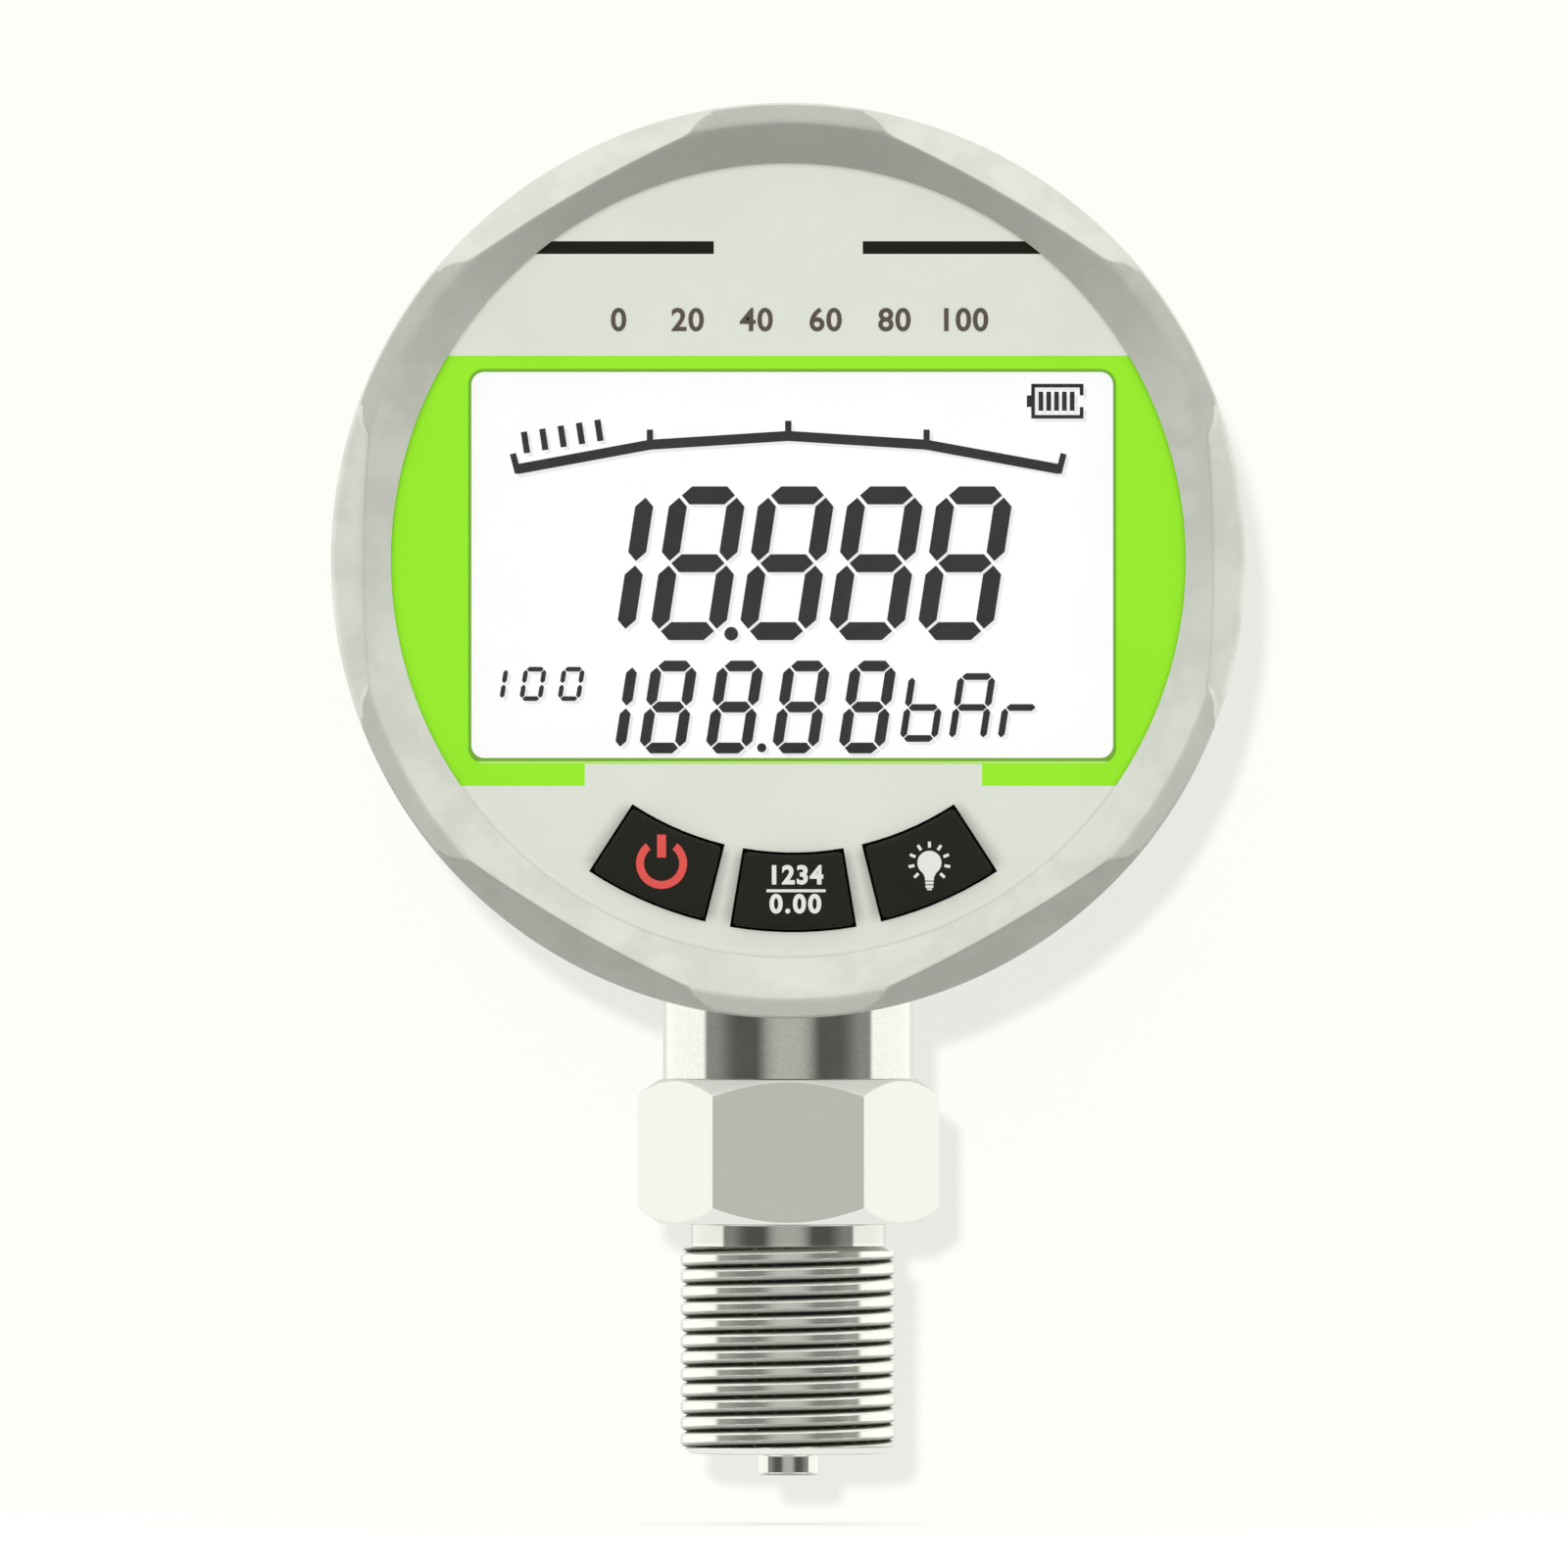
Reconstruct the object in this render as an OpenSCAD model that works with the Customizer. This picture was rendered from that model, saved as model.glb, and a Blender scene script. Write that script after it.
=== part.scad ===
// Digital pressure gauge with a bottom stem.
// The stem axis is Z. The origin is the centre of the sealing face at the thread's lower end.
// The dial faces -Y and +X is to its right.

/* [Stem] */
// Nominal diameter of the connection thread
thread_d = 20; // [18:0.5:22]
// Thread pitch
thread_pitch = 1.5; // [1.2:0.1:1.8]
// Length of the threaded part
thread_len = 19; // [14:0.5:24]
// Chamfer at the thread's lower end
thread_chamfer = 1.2; // [0.8:0.1:1.6]
// Depth of the relief groove below the thread's crest
relief_depth = 1; // [0.9:0.05:1.4]
// Length of the relief groove
relief_len = 2.1; // [1.6:0.1:2.6]
// Width across the flats of the hexagon
hex_w = 24; // [24:0.5:28]
// Height of the hexagon
hex_h = 13.2; // [10:0.2:16]
// Height of the hexagon's corner chamfer
hex_chamfer = 1.45; // [0.6:0.05:1.6]
// Diameter of the round neck
neck_d = 23; // [22:0.2:23.6]
// Length of neck that shows between the hexagon and the bezel
neck_show = 5.7; // [4:0.1:8]
// Height that the neck stands above the case wall inside
neck_stand = 0.6; // [0.4:0.1:0.9]
// Diameter of the spigot below the sealing face
spigot_d = 5.6; // [5:0.2:8]
// Length of the spigot
spigot_len = 2; // [1:0.2:4]
// Diameter of the pressure port
port_d = 3; // [2:0.2:4]

/* [Bezel] */
// Outer diameter of the bezel
bezel_d = 83.6; // [70:0.4:100]
// Length of the bezel along the dial's axis
bezel_len = 7.2; // [6.8:0.1:9]
// Width of the bezel's land outside its front edge
bezel_land = 1.8; // [1.4:0.1:2]
// Radial width of the bezel, from its outside to the visible film
bezel_rim = 5.5; // [5:0.1:5.6]
// Wall of the bezel's skirt
bezel_wall = 1.68; // [1.4:0.02:1.9]
// Thickness of the bezel's lip at its inner edge
lip_edge = 0.3; // [0.2:0.05:0.4]
// Depth from the bezel's front edge to the film
face_depth = 2.05; // [1.8:0.05:2.4]
// How far inside the bezel's crest the grip facets cross its inner cone
facet_inset = 1.17; // [0.7:0.01:1.4]
// Clearance between the bezel's skirt and the neck behind it
skirt_gap = 0.8; // [0.4:0.1:2]

/* [Case] */
// Wall of the case
case_wall = 1.6; // [1.3:0.05:2]
// Distance of the case's rear edge behind the stem axis
case_back = 18.5; // [18.5:0.5:24]
// Rounding of the case's rear edge
case_edge = 0.8; // [0.4:0.1:1]
// Radial width of the two seats inside the case
seat_w = 1.5; // [1.3:0.1:1.6]
// Thickness of the two seats inside the case
seat_t = 1.5; // [1:0.1:2]
// Radius of the screw lugs
lug_r = 3.6; // [3.5:0.1:3.9]
// Length of the screw lugs
lug_len = 8; // [6:0.5:9]

/* [Front] */
// Thickness of the front film
film_t = 0.4; // [0.3:0.05:0.6]
// Thickness of the moulded front panel
panel_t = 2; // [1.7:0.1:2.5]
// Film left between the window's corners and the bezel, measured along the radius
window_edge = 2.05; // [1.5:0.05:4]
// Height of the display window, as a share of its width
window_tall_share = 0.6024; // [0.5:0.01:0.62]
// Corner radius of the display window
window_corner = 1.2; // [0.6:0.1:2]
// Distance of the artwork's centre to the right of the dial's axis
art_shift = 0.45; // [0:0.05:0.5]
// Distance of the window's centre below the dial's axis
window_drop = 0.4; // [0:0.1:0.6]
// Panel thickness left in front of the lens
lens_lip = 0.3; // [0.2:0.05:0.4]
// Width of the step that holds the lens
lens_ledge = 0.8; // [0.5:0.1:0.8]
// Height of the coloured band above the window
band_above = 1.45; // [1:0.05:2]
// Height of the coloured band below the window
band_below = 2.5; // [2:0.1:3]
// Height of the thin band left under the window, between the ends
band_thin = 0.5; // [0.3:0.1:0.8]
// Width of the band's foot at each end of the window
band_foot = 11.2; // [8:0.1:14]
// Distance of the dark bars below the top of the visible film
bar_drop = 7.7; // [6:0.1:9]
// Thickness of the dark bars
bar_t = 1.17; // [0.8:0.01:1.6]
// Bare width between the dark bars
bar_gap = 13.6; // [8:0.1:20]

/* [Display] */
// Thickness of the display glass
lcd_t = 2; // [1.6:0.1:2.4]
// Margin of the display glass around the window
lcd_margin = 0.75; // [0.6:0.05:0.8]
// Thickness of the light guide
guide_t = 2; // [1.5:0.1:2.5]
// Free height behind the light guide
guide_back_gap = 1.2; // [0.8:0.1:1.6]
// Height of the main digits, as a share of the window's height
digit_tall_share = 0.351; // [0.31:0.005:0.36]
// Width of the main digits, as a share of their height
digit_wide_share = 0.424; // [0.36:0.004:0.44]
// Height of the second row's digits, as a share of the window's height
second_tall_share = 0.212; // [0.19:0.002:0.214]
// Width of the second row's digits, as a share of their height
second_wide_share = 0.43; // [0.37:0.005:0.45]
// Height of the unit cells, as a share of the window's height
unit_tall_share = 0.16; // [0.14:0.002:0.163]
// Height of the small digits at the left, as a share of the window's height
label_tall_share = 0.076; // [0.06:0.002:0.082]

/* [Keys] */
// Film left between the keys and the bezel
key_edge = 2.6; // [2.3:0.1:3.3]
// Length of the keys along the radius
key_len = 6.8; // [6.3:0.1:7.5]
// Half the angle of a key, in degrees
key_half = 9.4; // [8:0.1:9.6]
// Angle between the keys, in degrees
key_step = 23.5; // [23:0.5:26]
// Height of the keys above the film
key_rise = 0.7; // [0.6:0.1:1]
// Travel of the keys
key_travel = 0.5; // [0.3:0.05:0.6]
// Clearance round a key in its opening
key_gap = 0.25; // [0.15:0.05:0.3]
// Width of the flange that holds a key behind the panel
key_flange = 0.8; // [0.5:0.1:0.9]
// Thickness of that flange
key_flange_t = 1.05; // [0.8:0.05:1.4]

/* [Board] */
// Thickness of the circuit board
board_t = 1.6; // [1:0.1:2]
// Width of the switch housings
switch_w = 6.2; // [5.5:0.1:6.4]
// Radius of the switch plungers
plunger_r = 1.7; // [1.4:0.05:1.8]

/* [Battery bay] */
// Radius of a cell
cell_r = 5.1; // [5:0.05:5.2]
// Distance of the bay's ends from the case's inner wall, along its length
bay_side = 13.4; // [12.4:0.1:15]
// Length that a cell leaves free in the bay for its contacts
cell_play = 5.5; // [5:0.1:7]
// Thickness of the door
door_t = 2; // [1.7:0.1:2.4]
// Thickness of the rear cover
cover_t = 3.2; // [3:0.1:3.8]
// Wall of the battery bay
bay_wall = 1.3; // [1:0.1:1.6]

/* [Hidden] */
$fn = 96;

// Overrun of every cut past the surface it opens
cut = 0.2;
// Clearances: a running fit, a seat, a slack fit round a panel and the bezel on the case
run_fit = 0.05;
seat_gap = 0.05;
panel_fit = 0.2;
case_fit = 0.12;

// Radii of the case and bezel
bezel_r = bezel_d / 2;
crest_r = bezel_r - bezel_land;
face_r = bezel_r - bezel_rim;
skirt_r = bezel_r - bezel_wall;
case_r = skirt_r - case_fit;
case_in = case_r - case_wall;
panel_r = case_in - panel_fit;
seat_r = case_in - seat_w;
board_edge_gap = 0.4;
board_r = seat_r - board_edge_gap;

// Stem: radii
thread_r = thread_d / 2;
relief_r = thread_r - relief_depth;
neck_r = neck_d / 2;
spigot_r = spigot_d / 2;
port_r = port_d / 2;
hex_corner_r = hex_w / 2 / cos(30);
hex_trim = 0.15;
// Stem: heights
hex_z = thread_len + relief_len;
neck_z = hex_z + hex_h;
dial_z = neck_z + neck_show + bezel_r;
neck_top = dial_z - sqrt(case_in * case_in - neck_r * neck_r) + neck_stand;

// Positions along the dial's axis: positive is in front of the stem axis
skirt_back = neck_r + skirt_gap;
bezel_front = skirt_back + bezel_len;
film_front = bezel_front - face_depth;
film_back = film_front - film_t;
panel_back = film_back - panel_t;
lip_back = film_front + seat_gap;
lip_front = lip_back + lip_edge;
lens_front = film_back - lens_lip;
lcd_front = panel_back - seat_gap;
ink_t = 0.1;
ink_front = lcd_front + ink_t;
lens_back = ink_front + seat_gap;
lcd_back = lcd_front - lcd_t;
guide_gap = 0.2;
guide_front = lcd_back - guide_gap;
guide_back = guide_front - guide_t;
board_front = guide_back - guide_back_gap;
board_back = board_front - board_t;

// Bezel: grooves inside it for the case rim and its gasket
gasket_t = 0.7;
rim_front = panel_back + 1.15 * film_t + 0.35 * panel_t;
rim_recess = rim_front + gasket_t + 2 * seat_gap;
recess_r = case_in + seat_gap;
facet_cross_r = crest_r - facet_inset;
facet_tilt = 45;
facet_count = 6;
cone_share = (facet_cross_r - face_r) / (crest_r - face_r);
facet_front = lip_front + cone_share * (bezel_front - lip_front);
edge_round = 0.8;
skirt_edge = 0.4;

// Window and display
window_w = 2 * (face_r - window_edge) / sqrt(1 + window_tall_share * window_tall_share);
window_h = window_w * window_tall_share;
notch_w = window_w - 2 * band_foot;
bar_up = face_r - bar_drop;
window_shift_share = 0.8;
window_at = [window_shift_share * art_shift, -window_drop];
lcd_w = window_w + 2 * lcd_margin;
lcd_h = window_h + 2.4 * lcd_margin;
frame_wall = 1.4;
frame_fit = 0.1;
strip_w = 2;
strip_in = 0.2;
guide_side = 1.3;
guide_w = lcd_w - 2 * guide_side;
guide_h = lcd_h - 2 * (strip_w + 2 * strip_in);

// Slanted seven-segment figures: shares of their own sizes
slant_share = 0.154;
segment_gap_share = 0.12;
digit_stroke_share = 0.133;
digit_pitch_share = 0.656;
second_stroke_share = 0.1325;
second_pitch_share = 0.81;
digit_h = window_h * digit_tall_share;
digit_w = digit_h * digit_wide_share;
digit_pitch = digit_h * digit_pitch_share;
digit_stroke = digit_h * digit_stroke_share;
second_h = window_h * second_tall_share;
second_w = second_h * second_wide_share;
second_pitch = second_h * second_pitch_share;
second_stroke = second_h * second_stroke_share;
unit_h = window_h * unit_tall_share;
label_h = window_h * label_tall_share;
label_w_share = 0.62;
label_stroke_share = 0.16;
label_pitch_share = 1.3;
unit_w_share = 0.5;
unit_stroke_share = 0.11;
unit_pitch_share = 0.79;
// Which segments are lit: a top, b and c right, d bottom, e and f left, g middle
figure_8 = "abcdefg";
figure_0 = "abcdef";
figure_1 = "bc";
figure_2 = "abged";
figure_3 = "abcdg";
figure_b = "cdefg";
figure_A = "abcefg";
figure_r = "eg";
// Places in the window, as shares of its half width and half height
main_share = [-0.416, -0.341];
second_share = [-0.461, -0.9455];
main_dot_share = [-0.19, -0.3545];
second_dot_share = [-0.095, -0.944];
label_share = [-0.962, -0.69];
unit_share = [0.345, -0.896];
icon_share = [0.826, 0.848];
// The bar graph's line, half of it, and its ticks
graph_share = [[0, 0.6685], [0.431, 0.623], [0.8455, 0.4963], [0.858, 0.5768]];
graph_foot_share = 0.26;
tick_foot_share = [-0.826, 0.58];
tick_head_share = [-0.836, 0.69];
tick_step_share = [0.0572, 0.0155];
tick_count = 5;
graph_stroke = 0.56 * digit_stroke;
graph_mark = 0.35 * digit_stroke;
main_dot_r = 0.38 * digit_stroke;
second_dot_r = 0.42 * second_stroke;
second_one_shift = 0.083 * second_h;
main_one_shift = -0.016 * digit_h;
icon_h = 0.09 * window_h;
icon_w = 1.5 * icon_h;
icon_line = 0.106 * icon_h;
icon_bars = 5;

// Keys
key_outer_r = face_r - key_edge;
key_inner_r = key_outer_r - key_len;
key_front = film_front + key_rise;
key_base = panel_back - seat_gap - key_flange_t;
key_mid = (key_inner_r + key_outer_r) / 2;
symbol_t = 0.1;
switch_show = 0.45;
switch_top = key_base - key_travel - switch_show;
switch_lid = 0.5;
switch_floor = 1;
plunger_foot_r = 2.3;
plunger_foot_t = 0.8;
dome_h = 0.4;
dome_t = 0.1;
power_r = 2.33;
power_line = 0.72;
power_bar_w = 0.8;
power_gap_half = 38;
bulb_r = 1.08;
bulb_base_w = 0.62;
bulb_base_len = 2.1;
ray_in = 1.45;
ray_out = 2;
ray_w = 0.36;
ray_count = 9;
ray_step = 34.5;
select_h = 1.45;
select_line_w = 5.5;
select_line_t = 0.34;

// Board and what it carries
board_flat_gap = 1.4;
board_flat = dial_z - neck_top - board_flat_gap;
post_r = 2.4;
post_share = [0.384, 0.712];
post_low_share = 0.603;
post_low_gap = 0.6;
post_top = board_r * post_share;
post_low = [board_r * post_low_share,
    -(window_drop + lcd_h / 2 + frame_wall + post_low_gap + post_r)];
small_screw_r = 1;
small_head_r = 1.9;
small_head_t = 1.3;
chip_w = 10;
chip_t = 1.4;
converter_w = 6;
capacitor_w = 2;
capacitor_t = 1.1;

// Rear cover and battery bay
cover_recess = 0.4;
cover_back = -(case_back - cover_recess);
cover_front = cover_back + cover_t;
gasket_thin = 0.5;
rear_seat = cover_front + gasket_thin;
door_fit = 0.2;
door_front = cover_back + door_t;
door_seat = door_front + gasket_thin + seat_gap;
cell_gap = 0.35;
bay_len = 2 * (case_in - bay_side);
cell_len = bay_len - cell_play;
cell_axis = door_seat + cell_gap + cell_r;
bay_floor = cell_axis + cell_r + cell_gap + 0.1 * bay_wall;
bay_front = bay_floor + bay_wall;
cell_up = cell_r + cell_gap + 0.1 * bay_wall;
bay_h = 2 * (cell_up + cell_r + cell_gap + 0.15 * bay_wall);
door_ledge = 5;
door_rim = 2.2;
door_w = bay_len + 2 * door_ledge;
door_h = bay_h + 2 * door_rim;
door_corner = 2;
door_screw_x = bay_len / 2 + 0.55 * door_ledge;
door_screw_r = 1;
door_head_r = 1.9;
door_head_t = 1.2;
door_head_sink = 0.15;
door_boss_r = 2.3;
door_boss_len = 6;
screw_r = 1.45;
screw_head_r = 2.75;
screw_head_t = 1.6;
screw_len = 8;
slot_w = 0.6;
slot_deep = 0.5;
lug_ring = case_in - lug_r + 0.08 * lug_r;
plate_t = 0.4;
plate_foot = 3.2;
nub_r = 1.9;
nub_len = 0.9;
spring_len = bay_len - 2 * plate_t - cell_len - seat_gap;
spring_r = 3;
spring_tip_r = 1.8;
spring_wire = 0.5;
lead_r = 0.6;
lead_x = bay_len / 2 - 2.5 * spring_wire - plate_t;
lead_plug_t = 2.6;

// Sensor inside the stem
neck_wall = 1.95;
pocket_r = neck_r - neck_wall;
sensor_r = pocket_r - run_fit;
pocket_deep = 19.76;
pocket_z = neck_top - pocket_deep;
chamber_r = 7;
chamber_t = 0.8;
diaphragm_r = 8.8;
diaphragm_t = 0.3;
sensor_z = pocket_z + seat_gap;
can_z = sensor_z + diaphragm_t;
can_h = 11.2;
seal_z = can_z + 0.3 * can_h;
seal_h = 2.2;
seal_groove = 1.6;
ring_z = can_z + can_h;
ring_h = 3;
ring_hole_r = 4.8;
pin_r = 0.25;
pin_ring = 2.4;
pin_count = 5;
pin_turn = 90;
pin_len = 3.2;
sensor_board_r = 4;
sensor_board_t = 1;
sensor_board_z = ring_z + pin_len - sensor_board_t;
flex_w = 5;
flex_t = 0.3;
plug_w = 8;
plug_h = 4.5;
plug_t = 2.8;
plug_z = neck_top + board_flat_gap + 7.5 * sensor_board_t;

// Thread profile, as shares of the pitch
crest_share = 0.125;
root_share = 0.25;
thread_depth_share = 0.5413;

// Draws its children in the dial's own axes: X right, Y up, Z to the front
module dial() {
    translate([0, 0, dial_z]) rotate([90, 0, 0]) children();
}

// An outline given a thickness between two places along the dial's axis
module slab(back, front) {
    translate([0, 0, back]) linear_extrude(front - back) children();
}

module tube_2d(outer, inner) {
    difference() {
        circle(outer);
        circle(inner);
    }
}

module rounded(w, h, r) {
    square([w - 2 * r, h], center = true);
    square([w, h - 2 * r], center = true);
    for (x = [-1, 1], y = [-1, 1]) {
        translate([x * (w / 2 - r), y * (h / 2 - r)]) circle(r);
    }
}

module window_2d(grow) {
    translate(window_at)
        rounded(window_w + 2 * grow, window_h + 2 * grow, window_corner + grow);
}

// A ring sector that points down, grown on every side
module sector_2d(grow) {
    reach = 2 * key_outer_r;
    apex = grow / sin(key_half);
    intersection() {
        tube_2d(key_outer_r + grow, key_inner_r - grow);
        polygon([[0, apex], [-reach * sin(key_half), apex - reach * cos(key_half)],
            [reach * sin(key_half), apex - reach * cos(key_half)]]);
    }
}

// Places its children at a key: -1 left, 0 middle, 1 right
module at_key(side) {
    translate([art_shift, 0]) rotate(side * key_step) children();
}

function key_spot(side) =
    [art_shift + key_mid * sin(side * key_step), -key_mid * cos(side * key_step)];

module stroke(p, q, t) {
    d = q - p;
    n = [-d.y, d.x] * t / 2 / norm(d);
    polygon([p + n, p - n, q - n, q + n]);
}

function in_window(share) =
    window_at + [share.x * window_w / 2, share.y * window_h / 2];

// One segment between two corners of a figure, with pointed ends
module segment(p, q, t) {
    along = (q - p) / norm(q - p);
    side = [-along.y, along.x] * t / 2;
    gap = t * segment_gap_share;
    tip = along * gap;
    shoulder = along * (gap + t / 2);
    corners = [p + tip, p + shoulder + side, q - shoulder + side,
        q - tip, q - shoulder - side, p + shoulder - side];
    polygon([for (c = corners) [c.x + slant_share * c.y, c.y]]);
}

module figure(name, w, h, t) {
    m = h / 2;
    ends = [["a", [0, h], [w, h]], ["b", [w, h], [w, m]], ["c", [w, m], [w, 0]],
        ["d", [0, 0], [w, 0]], ["e", [0, m], [0, 0]], ["f", [0, h], [0, m]],
        ["g", [0, m], [w, m]]];
    for (e = ends) {
        if (len(search(e[0], name)) > 0) {
            segment(e[1], e[2], t);
        }
    }
}

module figures(names, w, h, t, pitch) {
    for (i = [0 : len(names) - 1]) {
        translate([i * pitch, 0]) figure(names[i], w, h, t);
    }
}

module band_2d() {
    top = window_at.y + window_h / 2 + band_above;
    low = window_at.y - window_h / 2 - band_below;
    thin = window_at.y - window_h / 2 - band_thin;
    edge = (face_r + panel_r) / 2;
    difference() {
        intersection() {
            circle(edge);
            translate([-edge, low]) square([2 * edge, top - low]);
        }
        translate([-art_shift - notch_w / 2, low - cut])
            square([notch_w, thin - low + cut]);
        window_2d(0);
    }
}

module bars_2d() {
    edge = (face_r + panel_r) / 2;
    intersection() {
        circle(edge);
        union() {
            translate([bar_gap / 2, bar_up - bar_t / 2]) square([edge, bar_t]);
            translate([-bar_gap / 2 - edge, bar_up - bar_t / 2]) square([edge, bar_t]);
        }
    }
}

module bezel_ring() {
    outer_arc = [for (a = [0 : 15 : 90])
        [bezel_r - edge_round + edge_round * cos(a),
            bezel_front - edge_round + edge_round * sin(a)]];
    profile = concat([[skirt_r, skirt_back], [bezel_r - skirt_edge, skirt_back],
        [bezel_r, skirt_back + skirt_edge]], outer_arc,
        [[crest_r, bezel_front], [face_r, lip_front], [face_r, lip_back],
        [recess_r, lip_back], [recess_r, rim_recess], [skirt_r, rim_recess]]);
    color("lightgray") dial() difference() {
        rotate_extrude() polygon(profile);
        for (k = [0 : facet_count - 1]) {
            rotate([0, 0, k * 360 / facet_count]) translate([facet_cross_r, 0, facet_front])
                rotate([0, -facet_tilt, 0])
                    translate([0, -bezel_r / 2, -bezel_len])
                        cube([bezel_len, bezel_r, 2 * bezel_len]);
        }
    }
}

module bezel_gasket() {
    color("dimgray") dial() slab(rim_front + seat_gap, rim_recess - seat_gap)
        tube_2d(case_r - seat_gap, recess_r + seat_gap);
}

module front_film() {
    color([0.87, 0.88, 0.84]) dial() slab(film_back, film_front) difference() {
        circle(panel_r);
        band_2d();
        window_2d(0);
        bars_2d();
        for (side = [-1 : 1]) {
            at_key(side) sector_2d(key_gap);
        }
    }
}

module display_surround() {
    color([0.6, 0.93, 0.2]) dial() slab(film_back, film_front) band_2d();
}

module accent_bars() {
    color([0.13, 0.14, 0.11]) dial() slab(film_back, film_front) bars_2d();
}

module front_panel() {
    color([0.8, 0.81, 0.78]) dial() {
        difference() {
            slab(panel_back, film_back) circle(panel_r);
            slab(panel_back - cut, film_back + cut) window_2d(0);
            slab(panel_back - cut, lens_front) translate(window_at)
                square([window_w + 2 * lens_ledge, window_h + 2 * lens_ledge], center = true);
            slab(panel_back - cut, film_back + cut) {
                for (side = [-1 : 1]) {
                    at_key(side) sector_2d(key_gap);
                }
            }
        }
        posts(board_front, panel_back, post_r, small_screw_r + run_fit);
    }
}

// The four places where the board is screwed to the panel
function post_places() =
    [for (p = [post_top, post_low], side = [-1, 1]) [side * p.x, p.y]];

module posts(back, front, outer, inner) {
    for (p = post_places()) {
        translate(p) slab(back, front) tube_2d(outer, inner);
    }
}

module window_lens() {
    color([0.95, 0.97, 0.97]) dial() slab(lens_back, lens_front) translate(window_at)
        square([window_w + 2 * (lens_ledge - seat_gap),
            window_h + 2 * (lens_ledge - seat_gap)], center = true);
}

module display_glass() {
    color("white") dial() slab(lcd_back, lcd_front) translate(window_at)
        square([lcd_w, lcd_h], center = true);
}

module battery_icon() {
    bar_pitch = icon_w * 0.15;
    difference() {
        square([icon_w, icon_h], center = true);
        square([icon_w - 2 * icon_line, icon_h - 2 * icon_line], center = true);
        translate([icon_w / 2 - 1.5 * icon_line, -icon_h / 6])
            square([3 * icon_line, icon_h / 3]);
    }
    translate([-icon_w / 2 - 1.2 * icon_line, -icon_h / 6])
        square([1.5 * icon_line, icon_h / 3]);
    for (i = [0 : icon_bars - 1]) {
        translate([(i - 2.1) * bar_pitch, 0])
            square([bar_pitch * 0.6, icon_h * 0.55], center = true);
    }
}

// The graph's line is centred on the dial's axis
module bar_graph() {
    translate([-window_at.x, 0]) {
        for (side = [-1, 1]) {
            place = [for (s = graph_share) in_window([side * s.x, s.y])];
            stroke(place[0], place[1], graph_stroke);
            stroke(place[1], place[2], graph_stroke);
            stroke(place[2] - graph_foot_share * (place[3] - place[2]), place[3], graph_mark);
            translate(place[1]) translate([-graph_mark / 2, 0])
                square([graph_mark, 1.5 * graph_stroke]);
        }
        translate(in_window(graph_share[0])) translate([-graph_mark / 2, 0])
            square([graph_mark, 1.5 * graph_stroke]);
    }
    for (i = [0 : tick_count - 1]) {
        stroke(in_window(tick_foot_share + i * tick_step_share),
            in_window(tick_head_share + i * tick_step_share), graph_mark);
    }
}

module display_segments() {
    color([0.2, 0.2, 0.2]) dial() slab(lcd_front, ink_front) {
        translate(in_window(main_share)) {
            figures([figure_8, figure_8, figure_8, figure_8],
                digit_w, digit_h, digit_stroke, digit_pitch);
            translate([main_one_shift - digit_pitch, 0]) figure(figure_1, digit_w, digit_h, digit_stroke);
        }
        translate(in_window(second_share)) {
            figures([figure_8, figure_8, figure_8, figure_8],
                second_w, second_h, second_stroke, second_pitch);
            translate([second_one_shift - second_pitch, 0])
                figure(figure_1, second_w, second_h, second_stroke);
        }
        translate(in_window(main_dot_share)) circle(main_dot_r);
        translate(in_window(second_dot_share)) circle(second_dot_r);
        translate(in_window(label_share))
            figures([figure_1, figure_0, figure_0], label_h * label_w_share, label_h,
                label_h * label_stroke_share, label_h * label_pitch_share);
        translate(in_window(unit_share))
            figures([figure_b, figure_A, figure_r], unit_h * unit_w_share, unit_h,
                unit_h * unit_stroke_share, unit_h * unit_pitch_share);
        translate(in_window(icon_share)) battery_icon();
        bar_graph();
    }
}

module display_frame() {
    color("whitesmoke") dial() slab(board_front, panel_back) difference() {
        intersection() {
            circle(board_r);
            translate(window_at)
                square([lcd_w + 2 * frame_wall, lcd_h + 2 * frame_wall], center = true);
        }
        translate(window_at)
            square([lcd_w + 2 * frame_fit, lcd_h + 2 * frame_fit], center = true);
    }
}

module light_guide() {
    color("ivory") dial() slab(guide_back, guide_front) translate(window_at)
        square([guide_w, guide_h], center = true);
}

module backlight_leds() {
    led_w = (lcd_w - guide_w) / 2 - 2 * frame_fit;
    color("khaki") dial() {
        for (up = [-1, 1]) {
            slab(board_front, guide_front - seat_gap)
                translate(window_at + [-guide_w / 2 - frame_fit - led_w / 2, up * guide_h / 4])
                    square([led_w, 2.5 * led_w], center = true);
        }
    }
}

module contact_strips() {
    color("slategray") dial() {
        for (up = [-1, 1]) {
            slab(board_front, lcd_back)
                translate(window_at + [0, up * (lcd_h / 2 - strip_in - strip_w / 2)])
                    square([guide_w, strip_w], center = true);
        }
    }
}

module main_board() {
    color("seagreen") dial() slab(board_back, board_front) difference() {
        circle(board_r);
        translate([-board_r, -board_flat - board_r]) square([2 * board_r, board_r]);
        for (p = post_places()) {
            translate(p) circle(small_screw_r + 3 * run_fit);
        }
    }
}

module board_screws() {
    color("silver") dial() {
        for (p = post_places()) {
            translate(p) difference() {
                union() {
                    slab(board_back, board_front + 3 * small_screw_r) circle(small_screw_r);
                    slab(board_back - small_head_t, board_back) circle(small_head_r);
                }
                slab(board_back - small_head_t - cut, board_back - small_head_t + slot_deep)
                    square([2 * small_head_r + cut, slot_w], center = true);
            }
        }
    }
}

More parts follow.
